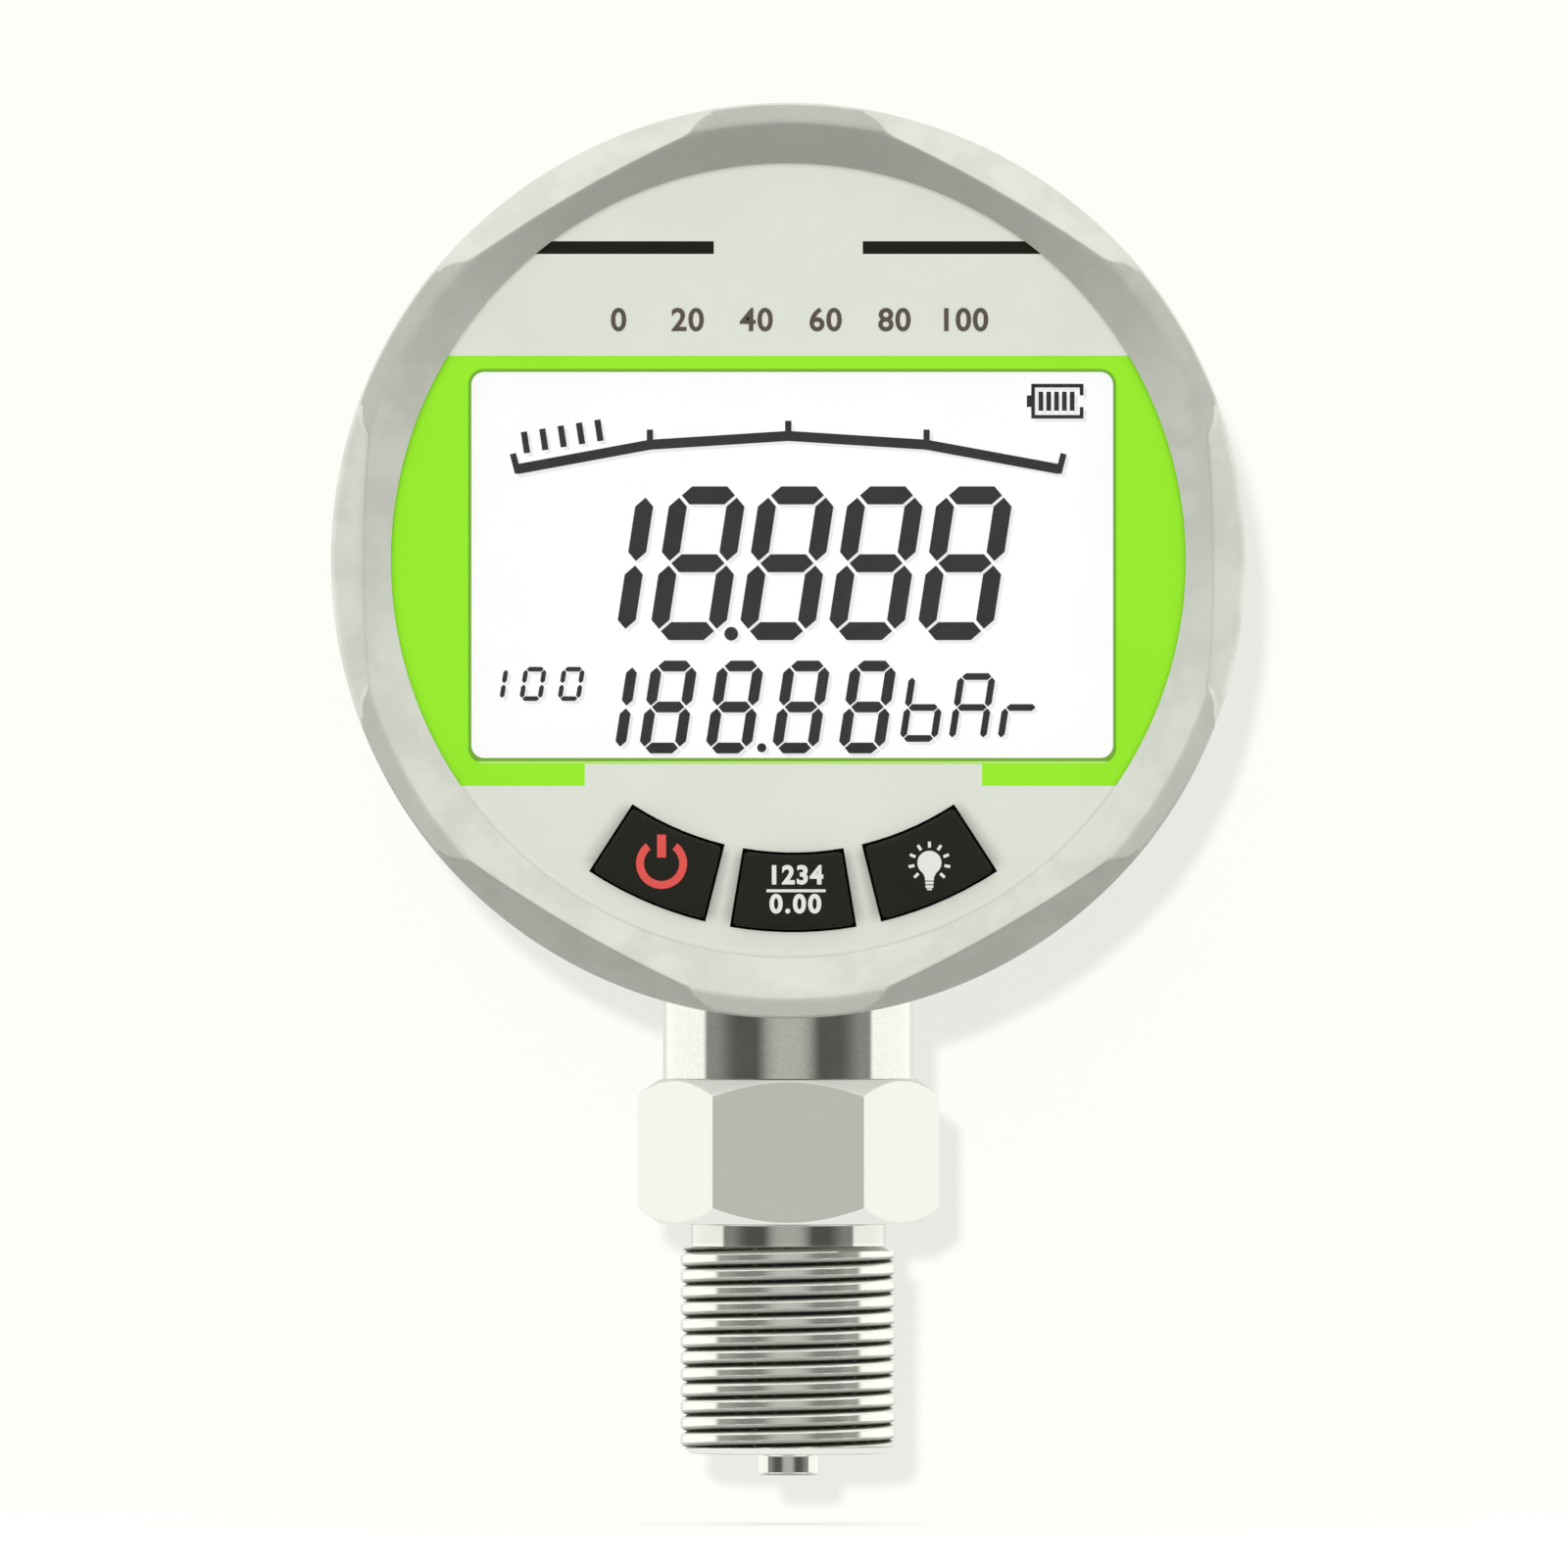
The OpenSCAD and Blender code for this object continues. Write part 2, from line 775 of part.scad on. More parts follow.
module processor_chip() {
    color("black") dial() slab(board_back - chip_t, board_back)
        translate([-chip_w, 1.4 * chip_w]) square(chip_w, center = true);
}

module converter_chip() {
    color("black") dial() slab(board_back - chip_t, board_back)
        translate([0, -2 * converter_w]) square([converter_w, 0.8 * converter_w], center = true);
}

module board_capacitors() {
    color("tan") dial() slab(board_back - capacitor_t, board_back) {
        for (i = [0 : 4]) {
            translate([(2.5 * i - 1) * capacitor_w, 1.4 * chip_w])
                square([0.6 * capacitor_w, capacitor_w], center = true);
        }
    }
}

// The switch housings are hollow boxes with a bore that guides the plunger
module switch_housings() {
    color("darkslategray") dial() {
        for (side = [-1 : 1]) {
            translate(key_spot(side)) difference() {
                slab(board_front, switch_top) square(switch_w, center = true);
                slab(board_front + switch_floor, switch_top - switch_lid)
                    circle(plunger_foot_r + 2 * run_fit);
                slab(board_front + switch_floor, switch_top + cut) circle(plunger_r + run_fit);
            }
        }
    }
}

module switch_domes() {
    base = board_front + switch_floor;
    rim = plunger_foot_r - dome_t;
    color("gold") dial() {
        for (side = [-1 : 1]) {
            translate(concat(key_spot(side), [base])) rotate_extrude()
                polygon([[0, dome_h], [rim / 2, 0.8 * dome_h], [rim, dome_t], [rim, 0],
                    [rim / 2, 0.8 * dome_h - dome_t], [0, dome_h - dome_t]]);
        }
    }
}

module key(side) {
    color([0.12, 0.13, 0.1]) dial() {
        slab(key_base, panel_back - seat_gap) at_key(side) sector_2d(key_flange);
        slab(panel_back - seat_gap, key_front) at_key(side) sector_2d(0);
    }
}

module plunger(side) {
    foot_front = switch_top - switch_lid - run_fit;
    color("goldenrod") dial() translate(key_spot(side)) {
        slab(foot_front - plunger_foot_t, foot_front) circle(plunger_foot_r);
        slab(foot_front, key_base) circle(plunger_r);
    }
}

module power_key() { key(-1); }
module select_key() { key(0); }
module light_key() { key(1); }
module power_plunger() { plunger(-1); }
module select_plunger() { plunger(0); }
module light_plunger() { plunger(1); }

module power_symbol() {
    reach = 2 * power_r;
    color([0.88, 0.31, 0.3]) dial() slab(key_front, key_front + symbol_t)
        translate(key_spot(-1)) {
            difference() {
                tube_2d(power_r, power_r - power_line);
                polygon([[0, 0], [reach * sin(power_gap_half), reach * cos(power_gap_half)],
                    [-reach * sin(power_gap_half), reach * cos(power_gap_half)]]);
            }
            translate([-power_bar_w / 2, power_r - 2.3 * power_line])
                square([power_bar_w, 3.1 * power_line]);
        }
}

module select_symbol() {
    row = select_h * 0.45;
    color("white") dial() slab(key_front, key_front + symbol_t) translate(key_spot(0)) {
        square([select_line_w, select_line_t], center = true);
        translate([-1.35 * select_h, row])
            figures([figure_1, figure_2, figure_3], select_h / 2, select_h,
                select_h * 0.17, select_h * 1.1);
        translate([-1.2 * select_h, -row - select_h])
            figures([figure_0, figure_0, figure_0], select_h / 2, select_h,
                select_h * 0.17, select_h * 1.05);
    }
}

module light_symbol() {
    color("white") dial() slab(key_front, key_front + symbol_t) translate(key_spot(1)) {
        circle(bulb_r);
        translate([-bulb_base_w / 2, -bulb_base_len]) square([bulb_base_w, bulb_base_len]);
        for (i = [0 : ray_count - 1]) {
            rotate((i - (ray_count - 1) / 2) * ray_step)
                translate([-ray_w / 2, ray_in]) square([ray_w, ray_out - ray_in]);
        }
    }
}

function lug_places() =
    [for (a = [45 : 90 : 315]) lug_ring * [cos(a), sin(a)]];

module case_body() {
    color("silver") difference() {
        dial() {
            rotate_extrude() polygon([[case_in, -case_back], [case_r - case_edge, -case_back],
                [case_r, case_edge - case_back], [case_r, rim_front], [case_in, rim_front],
                [case_in, panel_back], [seat_r, panel_back], [seat_r, panel_back - seat_t],
                [case_in, panel_back - seat_t - seat_w], [case_in, rear_seat + seat_t],
                [seat_r, rear_seat + seat_t], [seat_r, rear_seat], [case_in, rear_seat]]);
            difference() {
                for (p = lug_places()) {
                    translate(p) slab(rear_seat, rear_seat + lug_len)
                        tube_2d(lug_r, screw_r + run_fit);
                }
                slab(rear_seat - cut, rear_seat + lug_len + cut)
                    tube_2d(case_r + lug_r, case_r - case_wall / 2);
            }
        }
        translate([0, 0, dial_z - bezel_r]) cylinder(h = bezel_r - case_in / 2,
            r = neck_r + run_fit);
    }
}

// Outline of the thread from its chamfer up: ring crests at the thread's pitch
function thread_outline() =
    let (root_r = thread_r - thread_depth_share * thread_pitch,
        crest = crest_share * thread_pitch,
        root = root_share * thread_pitch,
        flank = (thread_pitch - crest - root) / 2,
        count = floor((thread_len - thread_chamfer - crest) / thread_pitch))
    concat([for (i = [0 : count - 1])
            let (z = thread_chamfer + i * thread_pitch)
            each [[thread_r, z], [thread_r, z + crest], [root_r, z + crest + flank],
                [root_r, z + crest + flank + root]]],
        [[thread_r, thread_chamfer + count * thread_pitch], [thread_r, thread_len]]);

module hexagon() {
    flat_r = hex_w / 2 - hex_trim;
    intersection() {
        translate([0, 0, hex_z]) cylinder(h = hex_h, r = hex_corner_r, $fn = 6);
        rotate_extrude() polygon([[0, hex_z], [flat_r, hex_z],
            [hex_corner_r, hex_z + hex_chamfer], [hex_corner_r, neck_z - hex_chamfer],
            [flat_r, neck_z], [0, neck_z]]);
    }
}

module process_fitting() {
    color("silver") difference() {
        union() {
            rotate_extrude() polygon(concat([[0, 0], [thread_r - thread_chamfer, 0]],
                thread_outline(), [[relief_r, thread_len], [relief_r, hex_z], [0, hex_z]]));
            translate([0, 0, -spigot_len]) cylinder(h = spigot_len, r = spigot_r);
            hexagon();
            translate([0, 0, neck_z]) cylinder(h = neck_top - neck_z, r = neck_r);
        }
        translate([0, 0, -spigot_len - cut])
            cylinder(h = spigot_len + pocket_z, r = port_r);
        translate([0, 0, pocket_z - chamber_t]) cylinder(h = chamber_t + cut, r = chamber_r);
        translate([0, 0, pocket_z]) cylinder(h = neck_top - pocket_z + cut, r = pocket_r);
    }
}

module pressure_sensor() {
    color("gainsboro") difference() {
        translate([0, 0, can_z]) cylinder(h = can_h, r = sensor_r);
        translate([0, 0, seal_z]) difference() {
            cylinder(h = seal_h, r = sensor_r + cut);
            cylinder(h = seal_h, r = sensor_r - seal_groove);
        }
    }
}

module sensor_diaphragm() {
    color("lightsteelblue") translate([0, 0, sensor_z]) cylinder(h = diaphragm_t, r = diaphragm_r);
}

module sensor_seal() {
    seal_r = (pocket_r - sensor_r + seal_groove) / 2 - run_fit / 2;
    color("black") translate([0, 0, seal_z + seal_h / 2]) rotate_extrude()
        translate([pocket_r - seal_r - run_fit / 2, 0]) circle(seal_r);
}

module sensor_ring() {
    color("darkgray") translate([0, 0, ring_z]) linear_extrude(ring_h) difference() {
        tube_2d(sensor_r, ring_hole_r);
        for (side = [-1, 1]) {
            translate([side * (sensor_r + ring_hole_r) / 2, 0]) circle(4 * pin_r);
        }
    }
}

module sensor_board() {
    color("seagreen") translate([0, 0, sensor_board_z]) linear_extrude(sensor_board_t)
        difference() {
            circle(sensor_board_r);
            for (i = [0 : pin_count - 1]) {
                rotate(pin_turn + i * 360 / pin_count) translate([pin_ring, 0])
                    circle(pin_r + run_fit);
            }
        }
}

module sensor_pins() {
    color("gold") {
        for (i = [0 : pin_count - 1]) {
            rotate(pin_turn + i * 360 / pin_count) translate([pin_ring, 0, ring_z])
                cylinder(h = pin_len + pin_r, r = pin_r);
        }
    }
}

// The flat cable leaves the sensor upwards and bends forward to the plug on the board
module sensor_flex() {
    low = sensor_board_z + sensor_board_t;
    front = board_back - plug_t / 2;
    bend = (plug_z - low) / 2;
    path = [[0, low], [0, low + bend], [-front, plug_z - bend / 3], [-front, plug_z]];
    color("peru") translate([flex_w / 2, 0, 0]) rotate([90, 0, -90]) linear_extrude(flex_w)
        polygon(concat([for (p = path) [-p.x - flex_t / 2, p.y]],
            [for (i = [len(path) - 1 : -1 : 0]) [-path[i].x + flex_t / 2, path[i].y]]));
}

module sensor_plug() {
    color("whitesmoke") dial() slab(board_back - plug_t, board_back)
        translate([-plug_w / 2, plug_z - dial_z]) square([plug_w, plug_h]);
}

module bay_2d(grow) {
    square([bay_len + 2 * grow, bay_h + 2 * grow], center = true);
}

module rear_cover() {
    color([0.15, 0.16, 0.15]) dial() difference() {
        union() {
            slab(cover_back, cover_front) circle(panel_r);
            slab(cover_back, bay_front) bay_2d(bay_wall);
            for (side = [-1, 1]) {
                translate([side * door_screw_x, 0])
                    slab(cover_back, cover_front + door_boss_len) circle(door_boss_r);
            }
        }
        slab(cover_back - cut, door_seat)
            rounded(door_w + 2 * door_fit, door_h + 2 * door_fit, door_corner + door_fit);
        slab(cover_back, bay_floor) bay_2d(0);
        for (side = [-1, 1]) {
            translate([side * door_screw_x, 0])
                slab(cover_back, cover_front + door_boss_len - bay_wall)
                    circle(door_screw_r + run_fit);
            translate([-lead_x, side * cell_up]) slab(bay_floor - cut, bay_front + cut)
                circle(lead_r + run_fit);
        }
        for (p = lug_places()) {
            translate(p) {
                slab(cover_back - cut, cover_front + cut) circle(screw_r + 2 * run_fit);
                slab(cover_back - cut, cover_back + screw_head_t + cut)
                    circle(screw_head_r + panel_fit);
            }
        }
    }
}

module cover_gasket() {
    color("dimgray") dial() slab(cover_front, rear_seat) difference() {
        intersection() {
            circle(panel_r);
            union() {
                tube_2d(panel_r, seat_r);
                for (p = lug_places()) {
                    translate(p) circle(lug_r - panel_fit);
                }
            }
        }
        for (p = lug_places()) {
            translate(p) circle(screw_r + 2 * run_fit);
        }
    }
}

module cover_screws() {
    head_back = cover_back + cut;
    color("silver") dial() {
        for (p = lug_places()) {
            translate(p) difference() {
                union() {
                    slab(head_back + screw_head_t, head_back + screw_head_t + screw_len)
                        circle(screw_r);
                    slab(head_back, head_back + screw_head_t) circle(screw_head_r);
                }
                for (turn = [0, 90]) {
                    rotate(turn) slab(head_back - cut, head_back + slot_deep)
                        square([1.3 * screw_head_r, slot_w], center = true);
                }
            }
        }
    }
}

// A cell along X, with its nub towards the given side
module cell(side) {
    color("steelblue") dial() translate([0, side * cell_up, cell_axis]) rotate([0, side * 90, 0]) {
        start = -bay_len / 2 + plate_t + spring_len;
        translate([0, 0, start]) cylinder(h = cell_len - nub_len, r = cell_r);
        translate([0, 0, start]) cylinder(h = cell_len, r = nub_r);
    }
}

module upper_cell() { cell(1); }
module lower_cell() { cell(-1); }

module contact_springs() {
    color("silver") dial() {
        for (side = [-1, 1]) {
            translate([0, side * cell_up, cell_axis]) rotate([0, side * 90, 0])
                translate([0, 0, -bay_len / 2 + plate_t]) rotate_extrude()
                    polygon([[spring_r - spring_wire, 0], [spring_r, 0],
                        [spring_tip_r + spring_wire, spring_len], [spring_tip_r, spring_len]]);
        }
    }
}

module contact_plates() {
    plate_h = 1.6 * cell_r;
    low = door_seat + cell_gap;
    color("silver") dial() {
        for (side = [-1, 1]) {
            translate([-bay_len / 2, side * cell_up - plate_h / 2, low])
                cube([plate_t, plate_h, bay_floor - low]);
            translate([-bay_len / 2, side * cell_up - plate_h / 4, bay_floor - seat_gap])
                cube([plate_foot, plate_h / 2, seat_gap]);
        }
        translate([bay_len / 2 - plate_t, -cell_up - plate_h / 2, low])
            cube([plate_t, 2 * cell_up + plate_h, bay_floor - low]);
    }
}

module battery_leads() {
    color("firebrick") dial() {
        for (side = [-1, 1]) {
            translate([-lead_x, side * cell_up]) slab(bay_floor, board_back - lead_plug_t)
                circle(lead_r);
        }
    }
}

module lead_plug() {
    color("whitesmoke") dial() slab(board_back - lead_plug_t, board_back)
        translate([-lead_x, 0]) square([6 * lead_r, 2 * cell_up + 6 * lead_r], center = true);
}

module battery_door() {
    color([0.15, 0.16, 0.15]) dial() difference() {
        slab(cover_back, door_front) rounded(door_w, door_h, door_corner);
        for (side = [-1, 1]) {
            translate([side * door_screw_x, 0]) {
                slab(cover_back - cut, door_front + cut) circle(door_screw_r + run_fit);
                slab(cover_back - cut, cover_back + door_head_sink + door_head_t)
                    circle(door_head_r + run_fit);
            }
        }
    }
}

module door_gasket() {
    color("dimgray") dial() slab(door_front, door_front + gasket_thin) difference() {
        bay_2d(0.3 * door_ledge);
        bay_2d(seat_gap);
    }
}

module door_screws() {
    head_back = cover_back + door_head_sink;
    color("silver") dial() {
        for (side = [-1, 1]) {
            translate([side * door_screw_x, 0]) difference() {
                union() {
                    slab(head_back + door_head_t, cover_front + door_boss_len - 2 * bay_wall)
                        circle(door_screw_r);
                    slab(head_back, head_back + door_head_t) circle(door_head_r);
                }
                slab(head_back - cut, head_back + slot_deep)
                    square([2 * door_head_r + cut, slot_w], center = true);
            }
        }
    }
}

bezel_ring();
bezel_gasket();
front_film();
display_surround();
accent_bars();
front_panel();
window_lens();
display_glass();
display_segments();
display_frame();
light_guide();
backlight_leds();
contact_strips();
main_board();
board_screws();
processor_chip();
converter_chip();
board_capacitors();
switch_housings();
switch_domes();
power_key();
power_symbol();
power_plunger();
select_key();
select_symbol();
select_plunger();
light_key();
light_symbol();
light_plunger();
case_body();
process_fitting();
pressure_sensor();
sensor_diaphragm();
sensor_seal();
sensor_ring();
sensor_board();
sensor_pins();
sensor_flex();
sensor_plug();
rear_cover();
cover_gasket();
cover_screws();
upper_cell();
lower_cell();
contact_springs();
contact_plates();
battery_leads();
lead_plug();
battery_door();
door_gasket();
door_screws();
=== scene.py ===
"""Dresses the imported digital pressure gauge: its surfaces, finishes, lamps and camera.

Lengths in this script are in millimetres until they go into a mesh. The stem's axis is Z. A place on
the dial is given as right, up and front, where front is the distance in front of the stem's axis.
"""
import math

import bmesh
import bpy
import numpy as np
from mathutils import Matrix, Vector


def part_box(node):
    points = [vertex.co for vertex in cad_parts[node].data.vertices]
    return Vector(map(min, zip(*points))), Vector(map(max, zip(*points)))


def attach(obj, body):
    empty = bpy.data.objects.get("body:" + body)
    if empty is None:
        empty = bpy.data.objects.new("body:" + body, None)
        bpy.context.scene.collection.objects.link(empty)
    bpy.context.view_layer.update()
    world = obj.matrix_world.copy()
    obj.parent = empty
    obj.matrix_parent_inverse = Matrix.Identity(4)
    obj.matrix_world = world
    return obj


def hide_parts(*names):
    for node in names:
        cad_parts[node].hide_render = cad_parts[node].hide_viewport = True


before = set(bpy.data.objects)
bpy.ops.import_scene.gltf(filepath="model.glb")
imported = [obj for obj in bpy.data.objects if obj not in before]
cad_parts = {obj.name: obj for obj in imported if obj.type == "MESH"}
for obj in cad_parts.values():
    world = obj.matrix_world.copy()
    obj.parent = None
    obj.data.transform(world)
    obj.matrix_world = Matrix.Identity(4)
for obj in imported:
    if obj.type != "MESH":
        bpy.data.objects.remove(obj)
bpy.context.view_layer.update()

MM = 0.001
TAU = 2 * math.pi
DIAL_Z = 81.8
BEZEL_R, CREST_R, FACE_R, SKIRT_R = 41.8, 40.0, 36.3, 40.12
SKIRT_BACK, BEZEL_FRONT, LIP_FRONT, LIP_BACK = 12.3, 19.5, 17.8, 17.5
CASE_R, CASE_IN, CASE_BACK, CASE_FRONT = 40.0, 38.4, -18.5, 16.2
COVER_BACK, FILM_FRONT = -18.1, 17.45
LUG_R, LUG_SHARE, SCREW_TURNS = 3.6, 0.92, np.radians([45, 135, 225, 315])
SCREW_RING = CASE_IN - LUG_R * LUG_SHARE
ART_X, KEY_IN, KEY_MID, KEY_OUT = 0.45, 26.9, 30.15, 33.7
KEY_FRONT, KEY_BASE, KEY_HALF, KEY_STEP = 18.15, 13.95, math.radians(9.4), math.radians(23.5)
BORE_R, SPIGOT_R, RELIEF_R, COLLAR_R, NECK_R = 1.5, 2.8, 9.0, 11.6, 11.5
PITCH, THREAD_LEAD, THREAD_R, ROOT_R, CREST_HALF, THREAD_TOP = 1.5, 0.23, 10.0, 9.1, 0.74, 19.0
HEX_LOW, HEX_HIGH, HEX_FLAT, HEX_CONE, HEX_CORNER, HEX_CHAMFER = 21.1, 34.3, 12.0, 11.85, 13.856, 1.45
HEX_RISE = (HEX_CORNER - HEX_CONE) / HEX_CHAMFER
CELLS = (1, "upper"), (-1, "lower")
WINDOW_X, WINDOW_UP, WINDOW_W, WINDOW_H = 0.36, -0.4, 58.676, 35.347
GLINT_WHITE = (0.97, 0.975, 0.95, 1)


def paired(operation):
    """The two methods of an operator: the plain one, and the reflected one."""
    return (lambda self, other: self.math(operation, other),
            lambda self, other: self.math(operation, other, flip=True))


class Signal:
    """One output socket of a node, on which plain maths can be written."""

    def __init__(self, finish, socket):
        self.finish, self.socket = finish, socket

    def math(self, operation, *others, flip=False):
        """Adds a Math node; with flip the other value comes first."""
        values = [self, *others]
        if flip:
            values.reverse()
        return self.finish.node("Math", {"operation": operation}, dict(enumerate(values)))

    __add__, __radd__ = paired("ADD")
    __sub__, __rsub__ = paired("SUBTRACT")
    __mul__, __rmul__ = paired("MULTIPLY")
    __truediv__, __rtruediv__ = paired("DIVIDE")
    __pow__, __rpow__ = paired("POWER")

    def __abs__(self):
        return self.math("ABSOLUTE")

    def ramp(self, low, high, to_low=0.0, to_high=1.0):
        """Goes smoothly from to_low to to_high as the signal goes from low to high."""
        return self.finish.node(
            "MapRange", {"interpolation_type": "SMOOTHSTEP", "clamp": True},
            {"Value": self, "From Min": low, "From Max": high, "To Min": to_low, "To Max": to_high})


class Finish:
    """A procedural material, or the world: it adds nodes and holds their maths."""

    def __init__(self, name, world=False):
        self.data = (bpy.data.worlds if world else bpy.data.materials).new(name)
        self.data.use_nodes = True
        self.tree = self.data.node_tree
        self.tree.nodes.clear()
        self.output = "OutputWorld" if world else "OutputMaterial"
        self.place = self.node("TexCoord", {}, {}, "Generated" if world else "Object")

    def node(self, kind, settings, sockets, out=0):
        """Adds a shader node of that kind: its settings first, then its sockets' values or links."""
        made = self.tree.nodes.new("ShaderNode" + kind)
        for key, value in settings.items():
            setattr(made, key, value)
        for key, value in sockets.items():
            if isinstance(value, Signal):
                self.tree.links.new(value.socket, made.inputs[key])
            else:
                made.inputs[key].default_value = value
        return Signal(self, made.outputs[out] if made.outputs else None)

    def noise(self, size, detail, rough, stretch=None):
        """Cloudy noise whose patches are about size millimetres across, from 0 to 1."""
        place = self.place
        if stretch:
            place = self.node("Mapping", {}, {"Vector": place, "Scale": stretch})
        return self.node("TexNoise", {}, {"Vector": place, "Scale": 1 / (size * MM), "Detail": detail,
                                          "Roughness": rough})

    def axes(self, scale=1 / MM):
        """The place as three signals, one for each axis: in millimetres, or plain with the scale 1."""
        return [self.node("SeparateXYZ", {}, {"Vector": self.place}, k) * scale for k in range(3)]

    def mix(self, factor, first, second):
        """A colour that goes from first to second as factor goes from 0 to 1."""
        return self.node("Mix", {"data_type": "RGBA"}, {0: factor, 6: first, 7: second}, 2)

    def tint(self, factor, colour, low, high):
        """The colour, from its share low to its share high as factor goes from 0 to 1."""
        return self.mix(factor, darker(colour, low), darker(colour, high))

    def bump(self, height, depth, strength):
        """A normal from a height between 0 and 1 that stands for depth millimetres."""
        return self.node("Bump", {}, {"Height": height, "Distance": depth * MM, "Strength": strength})

    def skin(self, **sockets):
        """Ends the material in a Principled shader; names with _ stand for names with a space."""
        return self.end(self.node("BsdfPrincipled", {},
                                  {key.replace("_", " "): value for key, value in sockets.items()}))

    def end(self, shader):
        """Links the shader to the output, and gives the finished material or world."""
        self.node(self.output, {}, {"Surface": shader})
        return self.data


def tone(red, green, blue):
    """A colour given as it shows on a screen, from 0 to 255, turned to linear light."""
    c = np.array([red, green, blue]) / 255
    c = np.where(c <= 0.04045, c / 12.92, ((c + 0.055) / 1.055) ** 2.4)
    return (*map(float, c), 1.0)


def darker(colour, share):
    """The colour with its light cut to a share."""
    return (*[c * share for c in colour[:3]], 1.0)


def blasted_steel(name, colour, rough=0.42, cloud=4.0, spread=0.05):
    """Bead-blasted steel: soft clouds a few millimetres wide over a fine even grain."""
    f = Finish(name)
    clouds = f.noise(cloud, 3, 0.55)
    fine = f.noise(0.28, 2, 0.7)
    blend = clouds.ramp(0.35, 0.65) * 0.75 + fine * 0.25
    return f.skin(Base_Color=f.tint(blend, colour, 1 - spread, 1 + spread), Metallic=1.0,
                  Roughness=clouds.ramp(0.3, 0.7, rough + 0.03, rough - 0.03),
                  Normal=f.bump(fine, 0.05, 0.25))


def turned_steel(name, colour, axis, rough=0.24, pitch=0.12):
    """Steel off the lathe: fine rings round the axis, and a faint change of gloss along it."""
    f = Finish(name)
    rings = f.noise(pitch, 2, 0.6, [1.0 if k == axis else 0.02 for k in range(3)])
    clouds = f.noise(3.0, 2, 0.5)
    return f.skin(Base_Color=f.tint(rings, colour, 0.93, 1.05), Metallic=1.0,
                  Roughness=rings.ramp(0.3, 0.7, rough - 0.04, rough + 0.05) + clouds * 0.04,
                  Normal=f.bump(rings, 0.02, 0.2))


def ground_steel(name, colour):
    """Ground steel: nearly bright, with a fine even grain that breaks up its edges of light."""
    f = Finish(name)
    grain = f.noise(0.35, 3, 0.7)
    clouds = f.noise(5.0, 2, 0.5)
    return f.skin(Base_Color=f.tint(grain.ramp(0.25, 0.75), colour, 0.93, 1.04), Metallic=1.0,
                  Roughness=clouds.ramp(0.3, 0.7, 0.05, 0.08) + grain * 0.02,
                  Normal=f.bump(grain, 0.002, 0.1))


def threaded_steel(name, colour):
    """The thread: painted shade in the roots, painted light on the paler and duller crests, and a
    painted highlight, white and not metallic, on the chamfer at the start.

    The phase is the height over the pitch less the turn, so the roots lie where it is whole. The
    painted shade comes up quickly below each root and fades slowly above it. The relief groove is
    painted dimmer, as shade.
    """
    f = Finish(name)
    x, y, height = f.axes()
    radius = (x * x + y * y) ** 0.5
    phase = ((height + THREAD_LEAD) / PITCH - y.math("ARCTAN2", x) / TAU + 4).math("FRACT")
    # Painted shade in the roots: it comes up quickly below each root and fades slowly above it.
    painted_root_shade = (phase.ramp(0.78, 0.98) * 0.75).math("MAXIMUM", phase.ramp(0.03, 0.38, 1.0, 0.0))
    painted_root_shade = painted_root_shade.math("MAXIMUM", phase.ramp(0.93, 0.975)) * radius.ramp(8.2, 8.6)
    painted_root_shade = painted_root_shade * height.ramp(0.45, 0.6) * height.ramp(THREAD_TOP, THREAD_TOP + 0.1, 1.0, 0.0)
    painted_root_shade = painted_root_shade * radius.ramp(9.6, 9.9, 1.0, 0.5)
    # Painted highlight: the chamfer at the thread's start is coloured white and not metallic.
    painted_glint = height.ramp(0.02, 0.08) * height.ramp(0.5, 0.65, 1.0, 0.0) * radius.ramp(8.9, 8.95)
    grain = f.noise(0.3, 3, 0.7)
    crest = radius.ramp(9.3, 9.7)
    # Painted light: the crests take a paler colour than the roots.
    steel = f.mix(crest, f.tint(grain, colour, 0.95, 1.04), darker(colour, 1.09))
    # Painted shade: the relief groove and collar above the thread are dimmer.
    steel = f.mix(height.ramp(THREAD_TOP + 0.2, THREAD_TOP + 0.4), steel, darker(colour, 0.87))
    base = f.mix(painted_glint, f.mix(painted_root_shade, steel, tone(118, 119, 111)), GLINT_WHITE)
    satin = 0.05 + grain * 0.03 + crest * 0.08
    return f.skin(Base_Color=base, Metallic=1 - painted_glint, Roughness=satin + painted_root_shade * 0.35 + painted_glint * 0.5,
                  Normal=f.bump(grain, 0.004, 0.12))


def milled_steel(name, colour):
    """The hexagon: evenly milled flats, and chamfers painted white as a highlight where the corner cones cut
    them.
    """
    f = Finish(name)
    x, y, height = f.axes()
    middle, half = (HEX_LOW + HEX_HIGH) / 2, (HEX_HIGH - HEX_LOW) / 2
    cone = HEX_CONE + (half - abs(height - middle)) * HEX_RISE
    # Painted highlight: white, not metallic, on the chamfers.
    painted_glint = abs((x * x + y * y) ** 0.5 - cone).ramp(0.03, 0.08, 1.0, 0.0)
    fine = f.noise(0.3, 3, 0.6)
    flats = f.tint(fine * 0.5 + f.noise(5.0, 2, 0.5) * 0.5, colour, 0.975, 1.025)
    return f.skin(Base_Color=f.mix(painted_glint, flats, GLINT_WHITE), Metallic=1 - painted_glint,
                  Roughness=0.22 + fine * 0.03 + painted_glint * 0.3, Normal=f.bump(fine, 0.01, 0.12))


